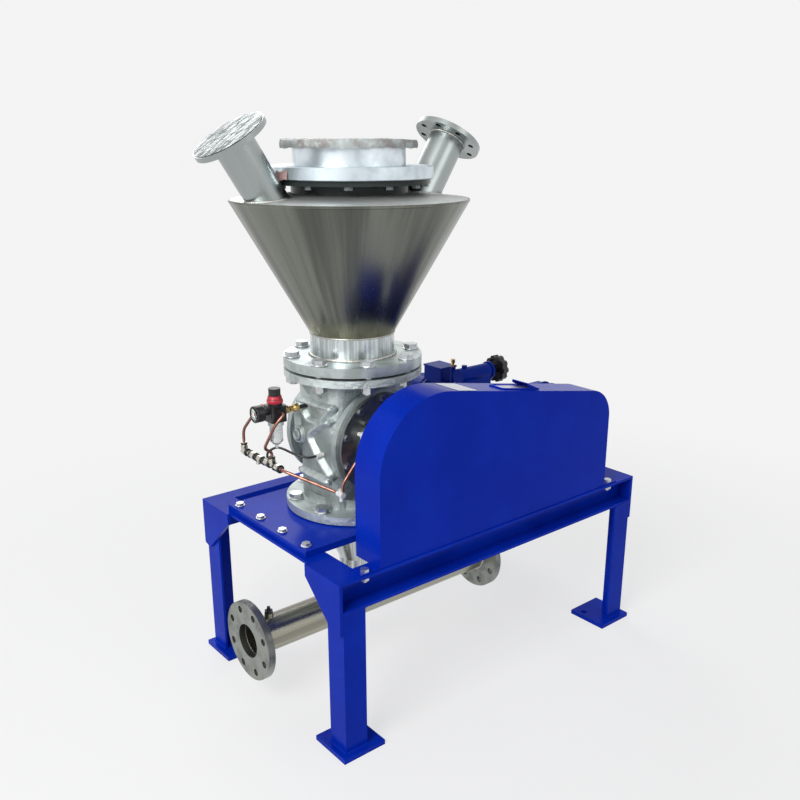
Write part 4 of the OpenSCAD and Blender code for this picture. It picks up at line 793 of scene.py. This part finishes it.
black = moulded("black_moulded", (0.010, 0.010, 0.011), (0.022, 0.022, 0.024), 0.32)
black.on("handwheel", "purge_plug", "regulator_body", "regulator_knob", "pressure_gauge")


# ---- Seal air set
# A filter regulator with a gauge feeds the shaft seals through a plated manifold, soft
# copper tubes and white push fittings. A brass nipple holds it to the casting.

copper = Finish("copper_tube", Metallic=1.0)
tarnish = copper.band(copper.grain(60.0, 5.0, 0.65), 0.42, 0.7)
copper.paint(copper.blend(tarnish, (0.40, 0.19, 0.14), (0.22, 0.105, 0.078)),
             0.30 + tarnish * 0.2, copper.grain(600.0, 2.0), 0.0002, 0.3)

# The regulator's middle, and places round it in millimetres. X runs towards the valve.
air_mid = np.array(frame["joints"][3]["pos_m"])
fit_low, fit_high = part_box("push_fittings")


def by_air(points):
    """Places given in millimetres from the regulator's middle."""
    return air_mid + np.asarray(points, float) / 1000


# Copper tubes, drawn soft and bent by hand: two down to the manifold, one on to the tee
# below the end cover and one up to the cover's seal port.
TUBE_R = 0.0038
GAP = 0.0012
MANIFOLD = -141
TEE = (np.array([fit_low.x + 0.007, fit_low.y + 0.008, fit_low.z + 0.016]) - air_mid) * 1000
PORT = (np.array([fit_high.x - 0.0065, fit_low.y, fit_high.z - 0.008]) - air_mid) * 1000
UP = np.array([0, 0, 1])
tubes = [tube(bent(by_air([(0, 22, 6), (0, 62, 6), (0, 92, -16), (0, 162, -84),
                           (0, 162, MANIFOLD + 20)]), 0.016, GAP), TUBE_R, 16, seed=(1, 0, 0)),
         tube(bent(by_air([(0, -22, 6), (0, -40, 5), (-24, -36, -18), (-24, 20, -92),
                           (0, 26, MANIFOLD + 34), (0, 26, MANIFOLD + 18)]), 0.014, GAP),
              TUBE_R, 16, seed=(1, 0, 0)),
         tube(bent(by_air([(0, -10, MANIFOLD), (0, -32, MANIFOLD), TEE + (0, 28, 0),
                           TEE + (0, 10, 0)]), 0.014, GAP), TUBE_R, 16, seed=(0, 0, 1)),
         tube(bent(by_air([TEE + 10 * UP, TEE + 28 * UP, PORT - 28 * UP, PORT - 10 * UP]), 0.014,
                   GAP),
              TUBE_R, 16, seed=(0, 1, 0))]
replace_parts(piece("bent_copper_tubes", *joined(tubes), copper, "frame", "copper"), "copper_tubes")

# Black air hose from the manifold's stub to the seal port on the valve's side
HOSE_R = 0.003
hose_path = bent(by_air([(0, 48, MANIFOLD + 10), (0, 48, MANIFOLD + 27),
                         (14, 30, MANIFOLD + 43), (14, 0, MANIFOLD + 48),
                         (24, -46, MANIFOLD + 41), (44, -70, MANIFOLD + 35),
                         (66, -70, MANIFOLD + 35)]), 0.024, GAP)
hose = piece("seal_hose", *tube(hose_path, HOSE_R, 14, seed=(1, 1, 0)), black, "frame",
             "black_plastic")
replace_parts(hose, "air_hose")
plated("nickel_plated", (0.66, 0.65, 0.60), (0.50, 0.45, 0.34), 0.2).on("air_manifold")


# Black release collars between the manifold's nuts, and on the tubes' ends
COLLAR_PLACES = (-14, 9, 33, 57, 67, 91, 101, 125, 143)
collar = [(6.7, 0), (9.6, 0.4), (10.4, 1.4), (10.4, 4.2), (9.6, 5.2), (6.7, 5.6)]
collars = [turned_ring(by_air((0, y, MANIFOLD)), np.array(collar) / 1000, (0, 1, 0))
           for y in COLLAR_PLACES]
collars += [turned_ring(by_air((0, y, MANIFOLD + 17)), np.array(collar) * (0.82, 1) / 1000, UP)
            for y in (26, 162)]
piece("release_collars", *joined(collars), black, "frame", "black_plastic", shell=True)
white = moulded("white_moulded", (0.72, 0.72, 0.69), (0.80, 0.80, 0.77), 0.28)
white.on("push_fittings")
moulded("red_lacquer", (0.52, 0.012, 0.008), (0.6, 0.02, 0.012), 0.25).on("gauge_needle")

# Red locking ring that is pushed down to hold the knob
red = moulded("red_moulded", (0.42, 0.012, 0.030), (0.56, 0.035, 0.060), 0.3)
lock = [(14.0, 25.0), (18.3, 24.9), (19.4, 26.2), (19.6, 31.5), (19.0, 33.5), (17.4, 35.6),
        (16.6, 41.6), (15.6, 43.0), (14.9, 43.2), (14.9, 36.0), (14.2, 35.5)]
piece("lock_ring", *turned_ring(air_mid, np.array(lock) / 1000, UP, 96, 32, 0.018), red, "knob",
      "knob_plastic", shell=True)

# Brass nipple and nut between the regulator and the casting
nipple = [(5.1, 23), (9.6, 23), (10.2, 24), (10.2, 32), (9.4, 33), (7.4, 33.2), (7.4, 50),
          (9.8, 50.4), (10.4, 51.4), (10.4, 60), (9.6, 61), (5.1, 61)]
along_x = by_air((0, -4, 3))
piece("brass_nipple", *turned_ring(along_x, np.array(nipple) / 1000, (1, 0, 0), 48, 6, 0.10),
      brass, "frame", "brass", shell=True)

# The gauge's dial, its marks, a bright bezel and the window
dial_mid = np.array(frame["joints"][4]["pos_m"])
dial_x = (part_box("pressure_gauge")[0].x - dial_mid[0]) * 1000
OUT = (-1, 0, 0)
DIAL_R, CASE_R = 17.2, 20.0
dial_card = moulded("dial_card", (0.74, 0.80, 0.77), (0.82, 0.87, 0.84), 0.5)
card = [(1.6, -dial_x - 3.9), (DIAL_R, -dial_x - 3.9), (DIAL_R, -dial_x - 4.3),
        (1.6, -dial_x - 4.3)]
piece("gauge_dial", *turned_ring(dial_mid, np.array(card) / 1000, OUT, 72), dial_card, "frame",
      "gauge_case", shell=True)
MARKS, DIAL_START, DIAL_SWEEP, MARK_OUT = 21, 225, 270, 0.0154
marks = []
for step in range(MARKS):
    turn = radians(DIAL_START - step * DIAL_SWEEP / (MARKS - 1))
    inner, wide = (0.0114, 0.00045) if step % 4 == 0 else (0.0132, 0.00022)
    across = np.array([0, -sin(turn), cos(turn)]) * wide
    ray = np.array([0, cos(turn), sin(turn)])
    at = dial_mid + np.array([(dial_x + 3.8) / 1000, 0, 0])
    corner = np.array([at + inner * ray - across, at + inner * ray + across,
                       at + MARK_OUT * ray + across, at + MARK_OUT * ray - across])
    marks.append((np.concatenate([corner, corner + [0.0002, 0, 0]]),
                  np.array([(0, 1, 2, 3), (7, 6, 5, 4), (0, 4, 5, 1), (1, 5, 6, 2), (2, 6, 7, 3),
                            (3, 7, 4, 0)])))
piece("gauge_marks", *joined(marks), black, "frame", "gauge_case", smooth=False, shell=True)
bezel = [(17.0, -dial_x - 2.0), (17.0, -dial_x - 0.6), (17.6, -dial_x - 0.1),
         (19.4, -dial_x - 0.2), (CASE_R + 0.25, -dial_x - 1.0), (CASE_R + 0.25, -dial_x - 5.0),
         (CASE_R - 0.2, -dial_x - 5.2), (CASE_R - 0.2, -dial_x - 2.0)]
piece("gauge_bezel", *turned_ring(dial_mid, np.array(bezel) / 1000, OUT, 72), black, "frame",
      "gauge_case", shell=True)
window = Finish("gauge_window", Transmission_Weight=1.0, IOR=1.2, Specular_IOR_Level=0.3)
wipe = window.band(window.grain(60.0, 3.0), 0.4, 0.7)
window.paint(window.blend(wipe, (0.97, 0.99, 0.98), (0.93, 0.96, 0.95)), 0.03 + wipe * 0.06,
             wipe, 0.0001, 0.1)
glass = [(0.0, -dial_x - 1.5), (DIAL_R, -dial_x - 1.5), (DIAL_R, -dial_x - 0.9),
         (DIAL_R * 0.6, -dial_x - 0.55), (0.0, -dial_x - 0.45)]
piece("gauge_glass", *turned_ring(dial_mid, np.array(glass) / 1000, OUT, 72), window, "frame",
      "gauge_case", shell=True)

bowl = Finish("clear_bowl", Transmission_Weight=0.75, IOR=1.5, Specular_IOR_Level=0.5)
haze = bowl.band(bowl.grain(70.0, 4.0), 0.4, 0.7)
bowl.paint(bowl.blend(haze, (0.80, 0.83, 0.82), (0.62, 0.66, 0.66)), 0.08 + haze * 0.1,
           haze, 0.0002, 0.2)
bowl.on("filter_bowl")


# ---- Camera, floor and lights
# Seen from the valve's corner, a little above the hopper's rim, on a pale floor.

camera_data = bpy.data.cameras.new("camera")
camera_data.sensor_width = 36.0
camera_data.lens = 39.44
camera_data.shift_x = -0.0044
camera_data.shift_y = 0.0274
camera = bpy.data.objects.new("camera", camera_data)
bpy.context.scene.collection.objects.link(camera)
camera.location = (-1.4540, -1.6768, 1.3352)
camera.rotation_euler = (radians(90 - 17.73), 0, radians(-39.44))
bpy.context.scene.camera = camera

PAPER_WHITE = 0.90
FLOOR_HALF = 14.0
floor_mesh = bpy.data.meshes.new("floor")
floor_mesh.from_pydata([(-FLOOR_HALF, -FLOOR_HALF, 0), (FLOOR_HALF, -FLOOR_HALF, 0),
                        (FLOOR_HALF, FLOOR_HALF, 0), (-FLOOR_HALF, FLOOR_HALF, 0)], [],
                       [(0, 1, 2, 3)])
floor = bpy.data.objects.new("floor", floor_mesh)
bpy.context.scene.collection.objects.link(floor)
floor_finish = Finish("pale_floor", Roughness=0.9, Specular_IOR_Level=0.1)
mottle = floor_finish.grain(26.0, 6.0, 0.7)
floor_finish.paint(floor_finish.blend(mottle, (0.84, 0.84, 0.84), (0.88, 0.88, 0.88)))
far = floor_finish.about(2, (0, 0, 0))[0]


def looked_at(finish):
    """1 for the rays of the camera, of reflections and of clear pieces, 0 for the rest."""
    rays = finish.node("LightPath").outputs
    return Amount(finish, rays["Is Camera Ray"]) \
        .maths("MAXIMUM", Amount(finish, rays["Is Glossy Ray"])) \
        .maths("MAXIMUM", Amount(finish, rays["Is Transmission Ray"]))


white = floor_finish.node("Emission", {}, {"Color": (PAPER_WHITE, PAPER_WHITE, PAPER_WHITE, 1),
                                           "Strength": 1.0})
share = looked_at(floor_finish) * (0.72 + floor_finish.band(far, 0.8, 2.4) * 0.28)
whole = floor_finish.node("MixShader", {}, {0: share, 1: floor_finish.shader.outputs[0],
                                            2: white.outputs[0]})
floor_out = floor_finish.tree.nodes["Material Output"].inputs["Surface"]
floor_finish.tree.links.new(whole.outputs[0], floor_out)
floor_mesh.materials.append(floor_finish.material)


def lamp(name, place, target, size, watts, colour=(1, 1, 1)):
    """A square soft lamp that faces a point."""
    data = bpy.data.lights.new(name, "AREA")
    data.size, data.energy, data.color = size, watts, colour
    made = bpy.data.objects.new(name, data)
    bpy.context.scene.collection.objects.link(made)
    made.location = place
    made.rotation_euler = (Vector(target) - Vector(place)).to_track_quat("-Z", "Y").to_euler()


lamp("key", (-3.2, -1.2, 3.0), (0, 0, 0.7), 2.0, 125)
lamp("front", (0.6, -3.6, 2.4), (0, 0, 0.7), 1.8, 14)
lamp("back", (0.8, 3.2, 3.2), (0, 0, 0.8), 2.4, 60)

class Room(Finish):
    """The studio's soft light: the world's shader, built with the same node method."""

    def __init__(self, name):
        self.world = bpy.data.worlds.new(name)
        self.world.use_nodes = True
        self.tree = self.world.node_tree
        self.tree.nodes.clear()


room = Room("studio")
bpy.context.scene.world = room.world
soft = room.node("Background", {}, {"Color": (0.95, 0.97, 1.0, 1), "Strength": 0.40})
backdrop = room.node("Background", {}, {"Color": (PAPER_WHITE, PAPER_WHITE, PAPER_WHITE, 1),
                                        "Strength": 1.0})
mixed = room.node("MixShader", {}, {0: looked_at(room), 1: soft.outputs[0],
                                    2: backdrop.outputs[0]})
room.node("OutputWorld", {}, {"Surface": mixed.outputs[0]})
bpy.context.scene.view_settings.view_transform = "Standard"
